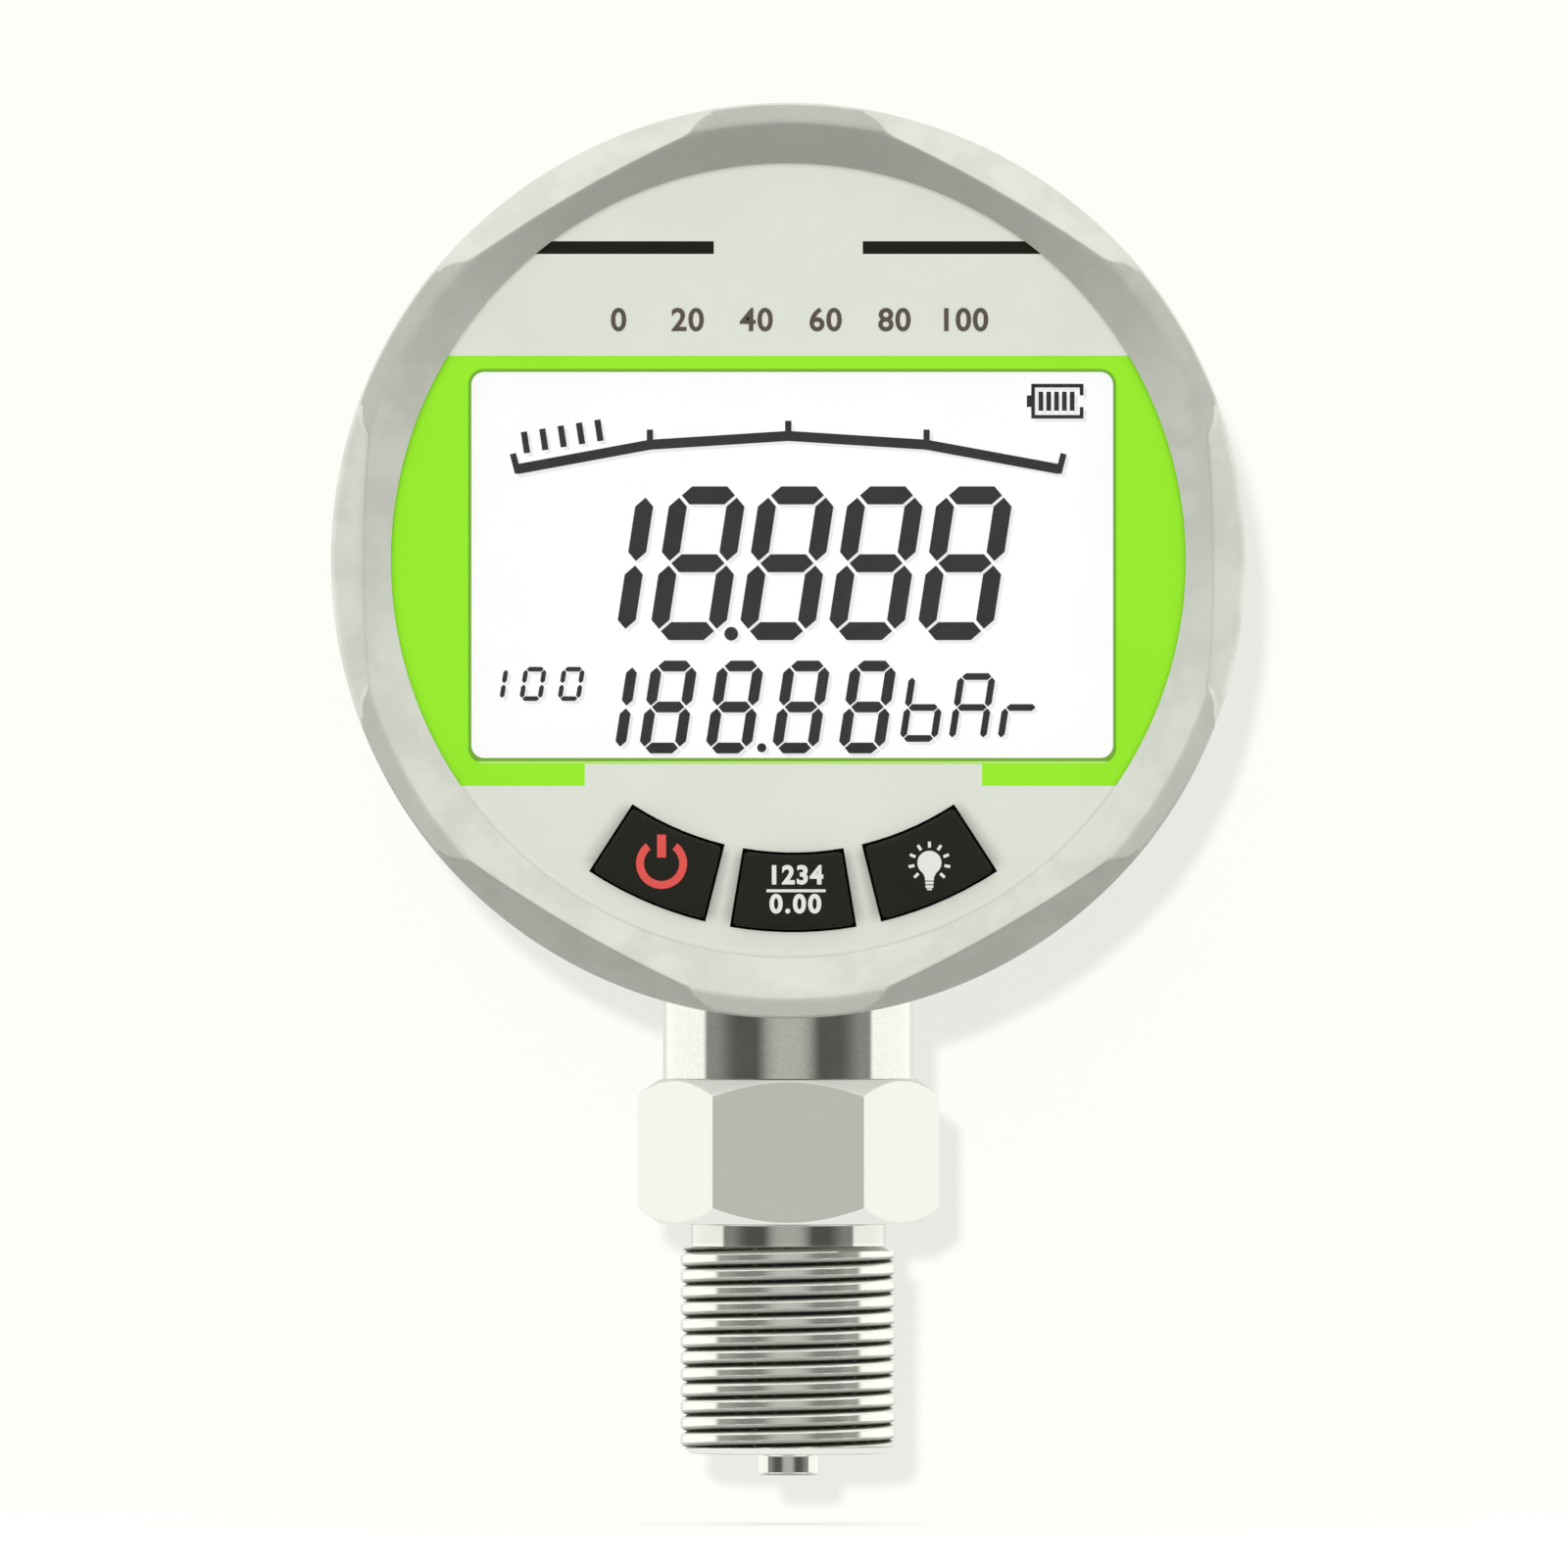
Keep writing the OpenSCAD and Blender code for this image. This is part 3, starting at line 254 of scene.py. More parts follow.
def moulded(name, colour, rough=0.45, grain=0.3, depth=0.03, spread=0.06, shine=0.5):
    """Moulded plastic: a fine spark-eroded grain, and a slight cloudiness of tone and gloss."""
    f = Finish(name)
    clouds = f.noise(6.0, 3, 0.5)
    fine = f.noise(grain, 3, 0.65)
    return f.skin(Base_Color=f.tint(clouds.ramp(0.3, 0.7), colour, 1 - spread, 1 + spread),
                  Roughness=fine.ramp(0.3, 0.7, rough - 0.06, rough + 0.06), Specular_IOR_Level=shine,
                  Normal=f.bump(fine, depth, 0.35))


def printed_film(name, colour, rough=0.5, spread=0.03, shine=0.3):
    """Screen-printed film: an even colour with a faint ink cloud and a velvet texture."""
    return ink_skin(Finish(name), colour, rough, spread, shine)


def ink_skin(f, colour, rough, spread, shine, shade=None, light=None):
    """The end of a printed film: clouds and a fine texture, darker by a painted shade and paler by a painted
    light.
    """
    clouds = f.noise(9.0, 2, 0.5)
    fine = f.noise(0.16, 2, 0.6)
    base = f.tint(clouds.ramp(0.3, 0.7) * 0.8 + fine * 0.2, colour, 1 - spread, 1 + spread)
    if shade is not None:
        # Painted shade and painted light, where a film is given them.
        base = f.mix(light, f.mix(shade, base, darker(colour, 0.66)), darker(colour, 1.1))
    return f.skin(Base_Color=base, Roughness=fine.ramp(0.2, 0.8, rough - 0.05, rough + 0.07),
                  Specular_IOR_Level=shine, Normal=f.bump(fine, 0.01, 0.2))


def dial_film(name, colour):
    """The pale film: printed, with a soft grey painted shade beside the three keys.

    With the angle about the keys' centre, the painted shade fades with the distance along the arc from
    each key's sides, and ends at the keys' inner and outer radius. The rim under the bezel's lip is
    painted paler, as painted light.
    """
    f = Finish(name)
    x, _, z = f.axes()
    right, down = x - ART_X, DIAL_Z - z
    radius = (right * right + down * down) ** 0.5
    angle = right.math("ARCTAN2", down)
    inside = radius.ramp(KEY_IN - 0.6, KEY_IN + 0.9) * (1 - radius.ramp(KEY_OUT - 0.9, KEY_OUT + 0.6))
    # Painted shade beside the sides of each key.
    dust_and_shade = 0
    for side in (-1, 0, 1):
        away = (abs(angle - side * KEY_STEP) - KEY_HALF) * KEY_MID
        dust_and_shade = (1 - away.ramp(0.0, 1.7)).math("MAXIMUM", dust_and_shade)
    # Painted light: the rim is paler under the bezel's lip.
    rim = (x * x + down * down) ** 0.5
    return ink_skin(f, colour, 0.5, 0.02, 0.2, dust_and_shade * inside, rim.ramp(FACE_R - 0.9, FACE_R))


def painted_edge_lines(name, inner, outer):
    """The window's edge: a dark painted shade line, and below the window a painted highlight line outside it.
    """
    f = Finish(name)
    _, _, z = f.axes()
    sill = DIAL_Z + WINDOW_UP - WINDOW_H / 2
    fine = f.noise(0.3, 2, 0.5)
    line = f.mix(fine, inner, darker(inner, 1.1))
    # Painted highlight below the window; elsewhere the dark painted shade line.
    return f.skin(Base_Color=f.mix(1 - z.ramp(sill - 0.3, sill - 0.22), line, outer),
                  Roughness=fine.ramp(0.3, 0.7, 0.35, 0.45), Specular_IOR_Level=0.3)


def rubber(name, colour):
    """Matt rubber with a dusty bloom."""
    f = Finish(name)
    dust_and_shade = f.noise(1.5, 4, 0.6)
    return f.skin(Base_Color=f.mix(dust_and_shade.ramp(0.4, 0.8), colour, darker(colour, 1.8)),
                  Roughness=dust_and_shade.ramp(0.2, 0.8, 0.65, 0.85), Normal=f.bump(dust_and_shade, 0.05, 0.3))


def painted_glow(name, colour, level):
    """A display layer in front of the light guide: it glows evenly with painted light, with a faint mottle.
    """
    f = Finish(name)
    mottle = f.noise(2.0, 2, 0.5)
    # Painted light: the emission makes the layer show white, and at a lower level the ink's painted shadows.
    return f.skin(Base_Color=f.tint(mottle, colour, 0.99, 1), Roughness=0.4, Specular_IOR_Level=0.1,
                  Emission_Color=f.tint(mottle, (1, 1, 1, 1), 0.99, 1), Emission_Strength=level)


def circuit(name, colour):
    """Solder mask with darker copper lanes under it."""
    f = Finish(name)
    x, _, z = f.axes()
    lanes = f.node("TexBrick", {"offset": 0.37, "squash": 0.6},
                   {"Vector": f.node("CombineXYZ", {}, {"X": x, "Y": z}), "Scale": 0.45,
                    "Mortar Size": 0.06, "Mortar Smooth": 0.3, "Color1": colour,
                    "Color2": darker(colour, 1.25), "Mortar": darker(colour, 0.55)})
    fine = f.noise(0.5, 2, 0.5)
    return f.skin(Base_Color=lanes, Roughness=fine.ramp(0.3, 0.7, 0.25, 0.4), Normal=f.bump(fine, 0.01, 0.2))


def clear_window(name):
    """A hard-coated clear lens that lets nearly everything through, with a faint smear of gloss."""
    f = Finish(name)
    smear = f.noise(7.0, 2, 0.5)
    return f.skin(Base_Color=(0.3, 0.31, 0.31, 1), Roughness=smear.ramp(0.3, 0.7, 0.03, 0.08),
                  Alpha=smear.ramp(0.3, 0.7, 0.018, 0.03), IOR=1.49)


def cell_sleeve(name, side):
    """A printed cell sleeve: dark blue, a pale stripe round it and a bright band towards the nub."""
    f = Finish(name)
    x, _, _ = f.axes()
    along = x * side
    stripe = along.ramp(6.6, 6.8) - along.ramp(7.6, 7.8)
    bare = abs(along).ramp(21.3, 21.5)
    scuff = f.noise(2.5, 4, 0.6)
    body = f.mix(along.ramp(10.0, 10.2), tone(34, 62, 112), tone(206, 168, 62))
    body = f.mix(stripe, body, tone(214, 218, 220))
    body = f.mix(bare, body, tone(196, 196, 192))
    return f.skin(Base_Color=body, Metallic=bare, Roughness=scuff.ramp(0.3, 0.7, 0.22, 0.34),
                  Normal=f.bump(scuff, 0.02, 0.2))


STEEL = tone(205, 206, 200)
POLISHED = tone(214, 214, 208)
GREY = (0.15, 0.15, 0.15, 1)
PAPER = (0.991, 1.0, 0.956, 1.0)

# Each finish: its material, and the CAD nodes that take it.
FINISHES = {
    "bezel": (blasted_steel("blasted_bezel", STEEL), "bezel_ring"),
    "case": (blasted_steel("blasted_case", darker(STEEL, 0.97), rough=0.4, cloud=9.0, spread=0.03),
             "case_body"),
    "hexagon": (milled_steel("milled_hexagon", darker(STEEL, 1.08)), ""),
    "turned": (ground_steel("ground_stem", POLISHED), "process_fitting"),
    "thread": (threaded_steel("threaded_stem", POLISHED), ""),
    "can": (turned_steel("turned_can", darker(POLISHED, 0.9), 2),
            "pressure_sensor sensor_diaphragm sensor_ring"),
    "screw": (turned_steel("screw_steel", darker(POLISHED, 0.85), 1, rough=0.2, pitch=0.2),
              "board_screws cover_screws door_screws"),
    "spring": (turned_steel("spring_steel", darker(POLISHED, 0.9), 0, rough=0.18),
               "contact_springs contact_plates"),
    "seal": (rubber("seal_rubber", (0.02, 0.02, 0.02, 1)),
             "bezel_gasket sensor_seal cover_gasket door_gasket"),
    "zebra": (rubber("contact_strip_rubber", (0.05, 0.05, 0.055, 1)), "contact_strips"),
    "film": (dial_film("pale_film", tone(223, 226, 218)), "front_film"),
    "green": (printed_film("green_film", tone(152, 236, 44), 0.5, 0.02, 0.1), "display_surround"),
    "black_print": (printed_film("black_print", tone(29, 31, 24), 0.5, shine=0.06), "accent_bars"),
    "caption": (printed_film("brown_print", tone(85, 75, 68), 0.5), ""),
    "panel": (moulded("pale_panel", tone(214, 217, 208)), "front_panel"),
    "trim": (painted_edge_lines("window_edge_green", tone(112, 168, 44), tone(196, 242, 120)), ""),
    "lens": (clear_window("clear_lens"), "window_lens"),
    "glass": (painted_glow("display_white", GREY, 0.9), "display_glass"),
    "shade": (painted_glow("segment_shadow", GREY, 0.74), ""),
    "ink": (moulded("display_ink", tone(50, 50, 50), 0.5, spread=0.03, shine=0.05), "display_segments"),
    "white": (moulded("white_plastic", tone(232, 232, 228)),
              "display_frame light_guide sensor_plug lead_plug"),
    "led": (moulded("led_yellow", tone(236, 222, 150), 0.25), "backlight_leds"),
    "board": (circuit("solder_mask", tone(20, 92, 52)), "main_board sensor_board"),
    "chip": (moulded("chip_black", tone(34, 34, 36), 0.4), "processor_chip converter_chip switch_housings"),
    "capacitor": (moulded("capacitor_tan", tone(176, 142, 104), 0.35), "board_capacitors"),
    "gold": (turned_steel("gold_plate", tone(226, 188, 104), 1, rough=0.2), "switch_domes sensor_pins"),
    "key": (moulded("key_black", tone(31, 32, 25), 0.42, 0.25, 0.02, shine=0.12),
            "power_key select_key light_key"),
    "red": (printed_film("red_print", tone(224, 80, 76), 0.45), "power_symbol"),
    "legend": (printed_film("white_print", tone(228, 230, 226), 0.45), "select_symbol light_symbol"),
    "plunger": (moulded("plunger_tan", tone(186, 156, 106), 0.4),
                "power_plunger select_plunger light_plunger"),
    "cover": (moulded("cover_black", tone(44, 46, 43), 0.5, 0.35, 0.05, 0.08), "rear_cover"),
    "door": (moulded("door_black", tone(40, 42, 39), 0.46, 0.35, 0.05, 0.08), "battery_door"),
    "mark": (moulded("mark_grey", tone(104, 106, 102), 0.5, 0.25, 0.02, 0.05), ""),
    "upper_cell": (cell_sleeve("upper_sleeve", 1), "upper_cell"),
    "lower_cell": (cell_sleeve("lower_sleeve", -1), "lower_cell"),
    "flex": (moulded("flex_amber", tone(188, 120, 40), 0.25), "sensor_flex"),
    "lead": (rubber("lead_red", tone(168, 34, 30)), "battery_leads"),
}
for material, nodes in FINISHES.values():
    for name in nodes.split():
        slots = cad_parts[name].data.materials
        slots.clear()
        slots.append(material)


def on_dial(right, up, front):
    """A place on the dial, in metres: the front distance goes along -Y."""
    right, up, front = np.broadcast_arrays(right, up, front)
    return np.stack([right, -front, up + DIAL_Z], -1) * MM


def about_stem(radius, turn, height):
    """A place given by its distance from the stem's axis, its angle and its height, in metres."""
    return np.stack(np.broadcast_arrays(radius * np.cos(turn), radius * np.sin(turn), height), -1) * MM


def about_dial(radius, turn, front):
    """A place given by its distance from the dial's axis, its angle and its front distance, in metres."""
    return on_dial(radius * np.cos(turn), radius * np.sin(turn), front)


def turned(place, profile, turn):
    """A profile of (radius, height) or (radius, front) pairs, turned by about_stem or about_dial."""
    return place(profile[:, :1], turn, profile[:, 1:])


def full_turn(count):
    """Angles at even steps round a whole turn."""
    return np.arange(count) / count * TAU


def ring_at(radius, turn):
    """Flat places given by their distance from the origin and their angle."""
    return radius * np.stack([np.cos(turn), np.sin(turn)], -1)


def hung(radius, turn):
    """Flat places given by their distance from the origin and their angle from straight down."""
    return radius * np.stack([np.sin(turn), -np.cos(turn)], -1)


def spun(points, spin, at):
    """Flat places turned about the origin by spin, then moved by at."""
    return points @ np.array([[math.cos(spin), math.sin(spin)], [-math.sin(spin), math.cos(spin)]]) + at


def placed(name, data):
    """A new object of the scene that shows the data."""
    made = bpy.data.objects.new(name, data)
    bpy.context.scene.collection.objects.link(made)
    return made


def corners_of(mesh):
    """The mesh's corners, a row of x, y and z for each."""
    co = np.empty(len(mesh.vertices) * 3)
    mesh.vertices.foreach_get("co", co)
    return co.reshape(-1, 3)


def piece(name, points, faces, body, finish, slot, node=None, angle=32):
    """A mesh object with its place in its mesh, smooth but for edges sharper than angle.

    Its faces are turned outwards, so that its volume is above zero. It rides on the body, and stands
    for the node where one is given.
    """
    mesh = bpy.data.meshes.new(name)
    mesh.from_pydata(points, [], faces)
    mesh.validate()
    solid = bmesh.new()
    solid.from_mesh(mesh)
    if solid.calc_volume(signed=True) < 0:
        mesh.flip_normals()
    solid.free()
    mesh.polygons.foreach_set("use_smooth", np.ones(len(mesh.polygons), bool))
    mesh.set_sharp_from_angle(angle=math.radians(angle))
    mesh.materials.append(FINISHES[finish][0])
    made = placed(name, mesh)
    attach(made, body)
    if node:
        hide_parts(node)


def quilt(grid, ring=False):
    """Points and faces of a grid (rows, columns, 3) whose columns close round.

    With ring the rows close too, as on a torus; otherwise each end row is closed by a fan to its mean.
    """
    rows, columns = grid.shape[:2]
    index = np.arange(rows * columns).reshape(rows, columns)
    low = index if ring else index[:-1]
    high = np.roll(index, -1, 0) if ring else index[1:]
    quads = np.stack([low, np.roll(low, -1, 1), np.roll(high, -1, 1), high], -1).reshape(-1, 4)
    points = grid.reshape(-1, 3)
    if ring:
        return points, quads.tolist()
    poles = np.stack([grid[0].mean(0), grid[-1].mean(0)])
    foot = np.stack([np.full(columns, rows * columns), np.roll(index[0], -1), index[0]], -1)
    head = np.stack([np.full(columns, rows * columns + 1), index[-1], np.roll(index[-1], -1)], -1)
    return np.concatenate([points, poles]), quads.tolist() + foot.tolist() + head.tolist()


def join(parts):
    """Several meshes as one list of points and faces."""
    points, faces, start = [], [], 0
    for p, f in parts:
        points.append(p)
        faces += [[i + start for i in face] for face in f]
        start += len(p)
    return np.concatenate(points), faces


def softened(first, second, width):
    """The smaller of two values, with the corner between them rounded over about width."""
    return 0.5 * (first + second - np.sqrt((first - second) ** 2 + width ** 2))


def filleted(corners, steps=5):
    """A profile through corners (a, b, radius): each corner becomes an arc of that radius."""
    corners = [np.array(c, float) for c in corners]
    path = []
    for i, c in enumerate(corners):
        p, radius = c[:2], c[2]
        if radius == 0 or i in (0, len(corners) - 1):
            path.append(p)
            continue
        back, ahead = corners[i - 1][:2] - p, corners[i + 1][:2] - p
        back, ahead = back / np.linalg.norm(back), ahead / np.linalg.norm(ahead)
        half = math.acos(np.clip(back @ ahead, -1, 1)) / 2
        reach = radius / math.tan(half)
        middle = p + (back + ahead) / np.linalg.norm(back + ahead) * radius / math.sin(half)
        start, end = p + back * reach - middle, p + ahead * reach - middle
        sweep = math.pi - 2 * half
        for t in np.linspace(0, 1, steps + 1):
            path.append(middle + (start * math.sin((1 - t) * sweep) + end * math.sin(t * sweep))
                        / math.sin(sweep))
    return np.array(path)


def bezel():
    """The bezel: a cone, a land and a rounded rim, cut down by six slanted grip facets.

    The front's height is the smaller of the turned profile and, in each sixth, a plane that falls by
    1 mm for each mm along the sixth's middle line and bends up beyond the facet's rounded ends. The
    grid's rows follow the edge between the two, so it is clean at any angle.
    """
    half = np.concatenate([np.linspace(0, 16, 21)[:-1], np.linspace(16, 22.4, 54)[:-1],
                           np.linspace(22.4, 30, 9)])
    local = np.concatenate([-half[:0:-1], half[:-1]])
    turn = np.radians((60 * np.arange(6)[:, None] + local).ravel())
    away = np.abs(np.tile(local, 6))
    lean = np.cos(np.radians(away))
    slope = (BEZEL_FRONT - LIP_FRONT) / (CREST_R - FACE_R)
    facet_front, facet_at, edge_r, ease_r = 18.96, 38.83, 41.55, 41.4
    plane = facet_front + facet_at
    crossing = (plane - LIP_FRONT + FACE_R * slope) / (slope + lean)
    end_at, end_r = [16.81, 17.1, 17.6, 18.3, 19.4, 21.1], [CREST_R, 40.12, 40.5, 41.0, ease_r, BEZEL_R]
    edge = np.minimum(np.where(away < end_at[0], crossing, np.interp(away, end_at, end_r)), edge_r)
    inner = np.minimum(edge, CREST_R)
    outer = np.maximum(edge, inner + 0.1)
    first = np.array([0, 0.15, 0.3, 0.45, 0.6, 0.72, 0.82, 0.9, 0.95, 0.98, 1])[:, None]
    second = np.array([0.12, 0.3, 0.5, 0.7, 0.88, 1])[:, None]
    third = np.array([0.02, 0.05, 0.1, 0.18, 0.3, 0.45, 0.6, 0.72, 0.82, 0.89, 0.94, 0.975, 0.99, 1])[:, None]
    radii = np.concatenate([FACE_R + (inner - FACE_R) * first, inner + (outer - inner) * second,
                            outer + (BEZEL_R - outer) * third])
    cone = LIP_FRONT + (radii - FACE_R) * slope
    land = BEZEL_FRONT - 0.03 * (radii - CREST_R)
    rim_round, crest_soft, rim_soft, facet_soft = 0.35, 0.09, 0.02, 0.14
    past = np.clip(radii - BEZEL_R + rim_round, 0, rim_round)
    rim = BEZEL_FRONT - rim_round + np.sqrt(rim_round ** 2 - past ** 2)
    front = softened(softened(cone, land, crest_soft), rim, rim_soft)
    beyond = radii * np.radians(away - np.interp(radii, end_r, end_at))
    bend = np.where(radii > CREST_R, 2.5 * np.maximum(beyond + 0.45, 0) ** 2, 0)
    eased = 0.25 * (np.maximum(radii - ease_r, 0) / (BEZEL_R - ease_r)) ** 2
    front = softened(front, plane - radii * lean + bend - eased, facet_soft)
    ledge, ledge_r, corner, bevel, foot_round = 17.01, 38.45, 0.15, 0.12, 0.4
    lip = np.array([[SKIRT_R, SKIRT_BACK + corner], [SKIRT_R, ledge], [ledge_r, ledge], [ledge_r, LIP_BACK],
                    [FACE_R + bevel, LIP_BACK], [FACE_R, LIP_BACK + 0.1]])
    foot = np.array([[BEZEL_R, SKIRT_BACK + foot_round], [BEZEL_R - bevel, SKIRT_BACK + bevel],
                     [BEZEL_R - foot_round, SKIRT_BACK], [SKIRT_R + corner, SKIRT_BACK]])
    share = np.linspace(0.15, 0.95, 6)[:, None]
    wall = front[-1] * (1 - share) + foot[0, 1] * share
    grid = np.concatenate([turned(about_dial, lip, turn), about_dial(radii, turn, front),
                           about_dial(BEZEL_R, turn, wall), turned(about_dial, foot, turn)])
    piece("faceted_bezel", *quilt(grid, ring=True), "housing", "bezel", "satin_steel", "bezel_ring")


def case():
    """The case: a turned cup wall with a rounded rear edge, two seats inside and a small drip groove."""
    seat_r, seat_t, front_seat, back_seat = 36.9, 1.5, 15.05, -12.9
    groove_r, groove_back, groove_front, sharp = CASE_R - 0.35, -14.2, -13.5, 0.05
    profile = filleted([
        (CASE_IN, CASE_FRONT, 0), (CASE_IN, front_seat, 0), (seat_r, front_seat, 0),
        (seat_r, front_seat - seat_t, 0), (CASE_IN, front_seat - 2 * seat_t, 0), (CASE_IN, back_seat, 0),
        (seat_r, back_seat, 0), (seat_r, back_seat - seat_t, 0), (CASE_IN, back_seat - seat_t, 0),
        (CASE_IN, CASE_BACK, 0.3), (CASE_R, CASE_BACK, 0.9), (CASE_R, groove_back, sharp),
        (groove_r, groove_back, sharp), (groove_r, groove_front, sharp), (CASE_R, groove_front, sharp),
        (CASE_R, CASE_FRONT, 0.2), (CASE_IN, CASE_FRONT, 0)])[:-1]
    grid = turned(about_dial, profile, full_turn(288))
    piece("case_shell", *quilt(grid, ring=True), "housing", "case", "satin_steel", "case_body")


def neck_bead():
    """The weld between neck and case: a thin tube along the curve where the two cylinders meet.

    On the neck's radius r the case's underside is at minus the root of its radius squared less x squared.
    """
    turn, around = full_turn(160)[:, None], full_turn(10)
    weld_r, sunk = 11.62, 0.1
    ripple = 0.34 + 0.05 * np.sin(turn * 46)
    meet = DIAL_Z - np.sqrt(CASE_R ** 2 - (weld_r * np.cos(turn)) ** 2) - sunk
    grid = about_stem(weld_r + ripple * np.cos(around), turn, meet + ripple * np.sin(around))
    piece("neck_weld", *quilt(grid, ring=True), "housing", "can", "turned_steel")


def thread():
    """The threaded end: bore, spigot, sealing face, right-hand thread and relief groove in one turning.

    The phase is the height over the pitch less the turn. With t the distance from the crest as a share
    of the crest's half width, the radius grows from the root's to the crest's by the root of 1 - t ** 1.9.
    """
    turn = full_turn(216)
    bore_top, tip, collar_top = 6, -2, 22
    low = filleted([(BORE_R, bore_top, 0), (BORE_R, tip, 0.15), (SPIGOT_R, tip, 0.2),
                    (SPIGOT_R, tip + 0.3, 0), (SPIGOT_R, -0.3, 0), (SPIGOT_R, 0, 0.12), (RELIEF_R, 0, 0)], 3)
    heights = np.concatenate([[0.0], np.arange(0.04, THREAD_TOP, 0.05), [THREAD_TOP]])[:, None]
    phase = ((heights + THREAD_LEAD) / PITCH - turn / TAU) % 1
    off_crest = np.clip(abs(phase - 0.5) * PITCH / CREST_HALF, 0, 1)
    radius = ROOT_R + (THREAD_R - ROOT_R) * np.sqrt(1 - off_crest ** 1.9)
    start = RELIEF_R + heights * 1.2
    runout = THREAD_R - 0.1 - np.maximum(heights - THREAD_TOP + 0.4, 0) * 2.2
    radius = np.minimum(np.minimum(radius, start), runout)
    relief = [(RELIEF_R, THREAD_TOP + rise, 0) for rise in (0.02, 0.15, 0.4, 1.7, 1.9)]
    high = filleted([*relief, (RELIEF_R, HEX_LOW, 0.12), (COLLAR_R, HEX_LOW, 0.1),
                     (COLLAR_R, collar_top, 0)], 3)
    grid = np.concatenate([turned(about_stem, low, turn), about_stem(radius, turn, heights),
                           turned(about_stem, high, turn)])
    piece("threaded_end", *quilt(grid), "housing", "thread", "turned_steel", "process_fitting", 40)


def hexagon():
    """The hexagon: at each angle and height the radius is the least of three distances.

    They are the flat's and those of the two corner cones. The rows follow the curves where a flat
    meets a cone.
    """
    half = np.array([0, 0.3, 0.7, 1.2, 1.9, 2.8, 4, 5.5, 7.5, 10, 12.5, 15, 17.5, 20, 22.5, 25, 27.5, 30])
    sector = np.concatenate([half, 60 - half[-2:0:-1]])
    turn = np.radians(np.concatenate([sector + 60 * k for k in range(6)]))
    flat = softened(HEX_FLAT / np.cos((turn % (TAU / 6)) - TAU / 12), HEX_CORNER - 0.01, 0.05)
    meet = (flat - HEX_CONE) / HEX_RISE
    share = np.array([0, 0.3, 0.6, 0.8, 0.93])[:, None]
    past = np.array([0, 0.04, 0.1, 0.2, 0.45])[:, None]
    up = np.concatenate([meet * share, meet + past])
    middle = np.array([24.0, 26, 28, 30, 31.5])[:, None] + 0 * turn
    heights = np.concatenate([HEX_LOW + up, middle, HEX_HIGH - up[::-1]])
    radius = softened(flat, HEX_CONE + (heights - HEX_LOW) * HEX_RISE, 0.03)
    radius = softened(radius, HEX_CONE + (HEX_HIGH - heights) * HEX_RISE, 0.03)
    low = np.array([[COLLAR_R - 1, HEX_LOW - 0.02], [COLLAR_R, HEX_LOW - 0.02]])
    high = np.array([[NECK_R + 0.12, HEX_HIGH + 0.02], [NECK_R, HEX_HIGH + 0.12]])
    grid = np.concatenate([turned(about_stem, low, turn), about_stem(radius, turn, heights),
                           turned(about_stem, high, turn)])
    piece("hexagon", *quilt(grid), "housing", "hexagon", "turned_steel", angle=25)


def neck():
    """The round neck, a plain turning that ends inside the case."""
    low, high = HEX_HIGH - 0.3, 45.7
    heights = np.linspace(low, high, 12)[:, None]
    piece("neck", *quilt(about_stem(NECK_R, full_turn(192), heights)), "housing", "turned", "turned_steel")


def sector_loop(grow, corner=0.45, count=26):
    """The outline of a key, moved out by grow: two arcs and two radial sides, with rounded corners.

    Each arc and side is a run of places that stops short of its corners. Between two runs a parabola
    leaves the one's end and reaches the other's start, drawn towards the sharp corner.
    """
    outer, inner = KEY_OUT + grow, KEY_IN - grow
    wide, narrow = (KEY_HALF + math.asin(grow / radius) for radius in (outer, inner))

    def bend(start, end, sharp):
        t = np.linspace(0, 1, 8)[1:-1, None]
        return (1 - t) ** 2 * start + 2 * t * (1 - t) * sharp + t ** 2 * end

    top = hung(outer, np.linspace(corner / outer - wide, wide - corner / outer, count))
    low = hung(inner, np.linspace(narrow - corner / inner, corner / inner - narrow, count))
    far, near = hung(outer, wide), hung(inner, narrow)
    lean = (near - far) / np.linalg.norm(near - far)
    t = np.linspace(0, 1, 10)[:, None]
    right = (far + lean * corner) * (1 - t) + (near - lean * corner) * t
    flip = np.array([-1, 1])
    left = right[::-1] * flip
    return np.concatenate([top, bend(top[-1], right[0], far), right, bend(right[-1], low[0], near), low,
                           bend(low[-1], left[0], near * flip), left, bend(left[-1], top[0], far * flip)])


def key(part, side):
    """A key: its outline carried up through a flange and a wall, over a rounded edge, to a flat top."""
    flange, flange_front, edge_r, edge_at = 0.8, 15.0, 0.3, 17.82
    rows = [(flange, KEY_BASE), (flange, flange_front), (0, flange_front + 0.02), (0, 17),
            (0, edge_at - 0.04)]
    rows += [(edge_r * (math.cos(t) - 1), edge_at + edge_r * math.sin(t))
             for t in np.linspace(0.2, TAU / 4, 6)]
    rows += [(-0.7, KEY_FRONT - 0.005), (-1.6, KEY_FRONT - 0.005)]
    grid = np.stack([on_dial(*spun(sector_loop(grow), side * KEY_STEP, (ART_X, 0)).T, front)
                     for grow, front in rows])
    piece(f"{part}_cap", *quilt(grid), f"{part}_button", "key", "key_black", f"{part}_key")


def round_box(x, y, half_w, half_h, corner):
    """The outline of a rectangle with rounded corners, about a place, against the clock."""
    quarter = np.linspace(0, TAU / 4, 13)
    return np.concatenate([
        ring_at(corner, quarter + k * TAU / 4) + (x + sx * (half_w - corner), y + sy * (half_h - corner))
        for k, (sx, sy) in enumerate([(1, 1), (-1, 1), (-1, -1), (1, -1)])])


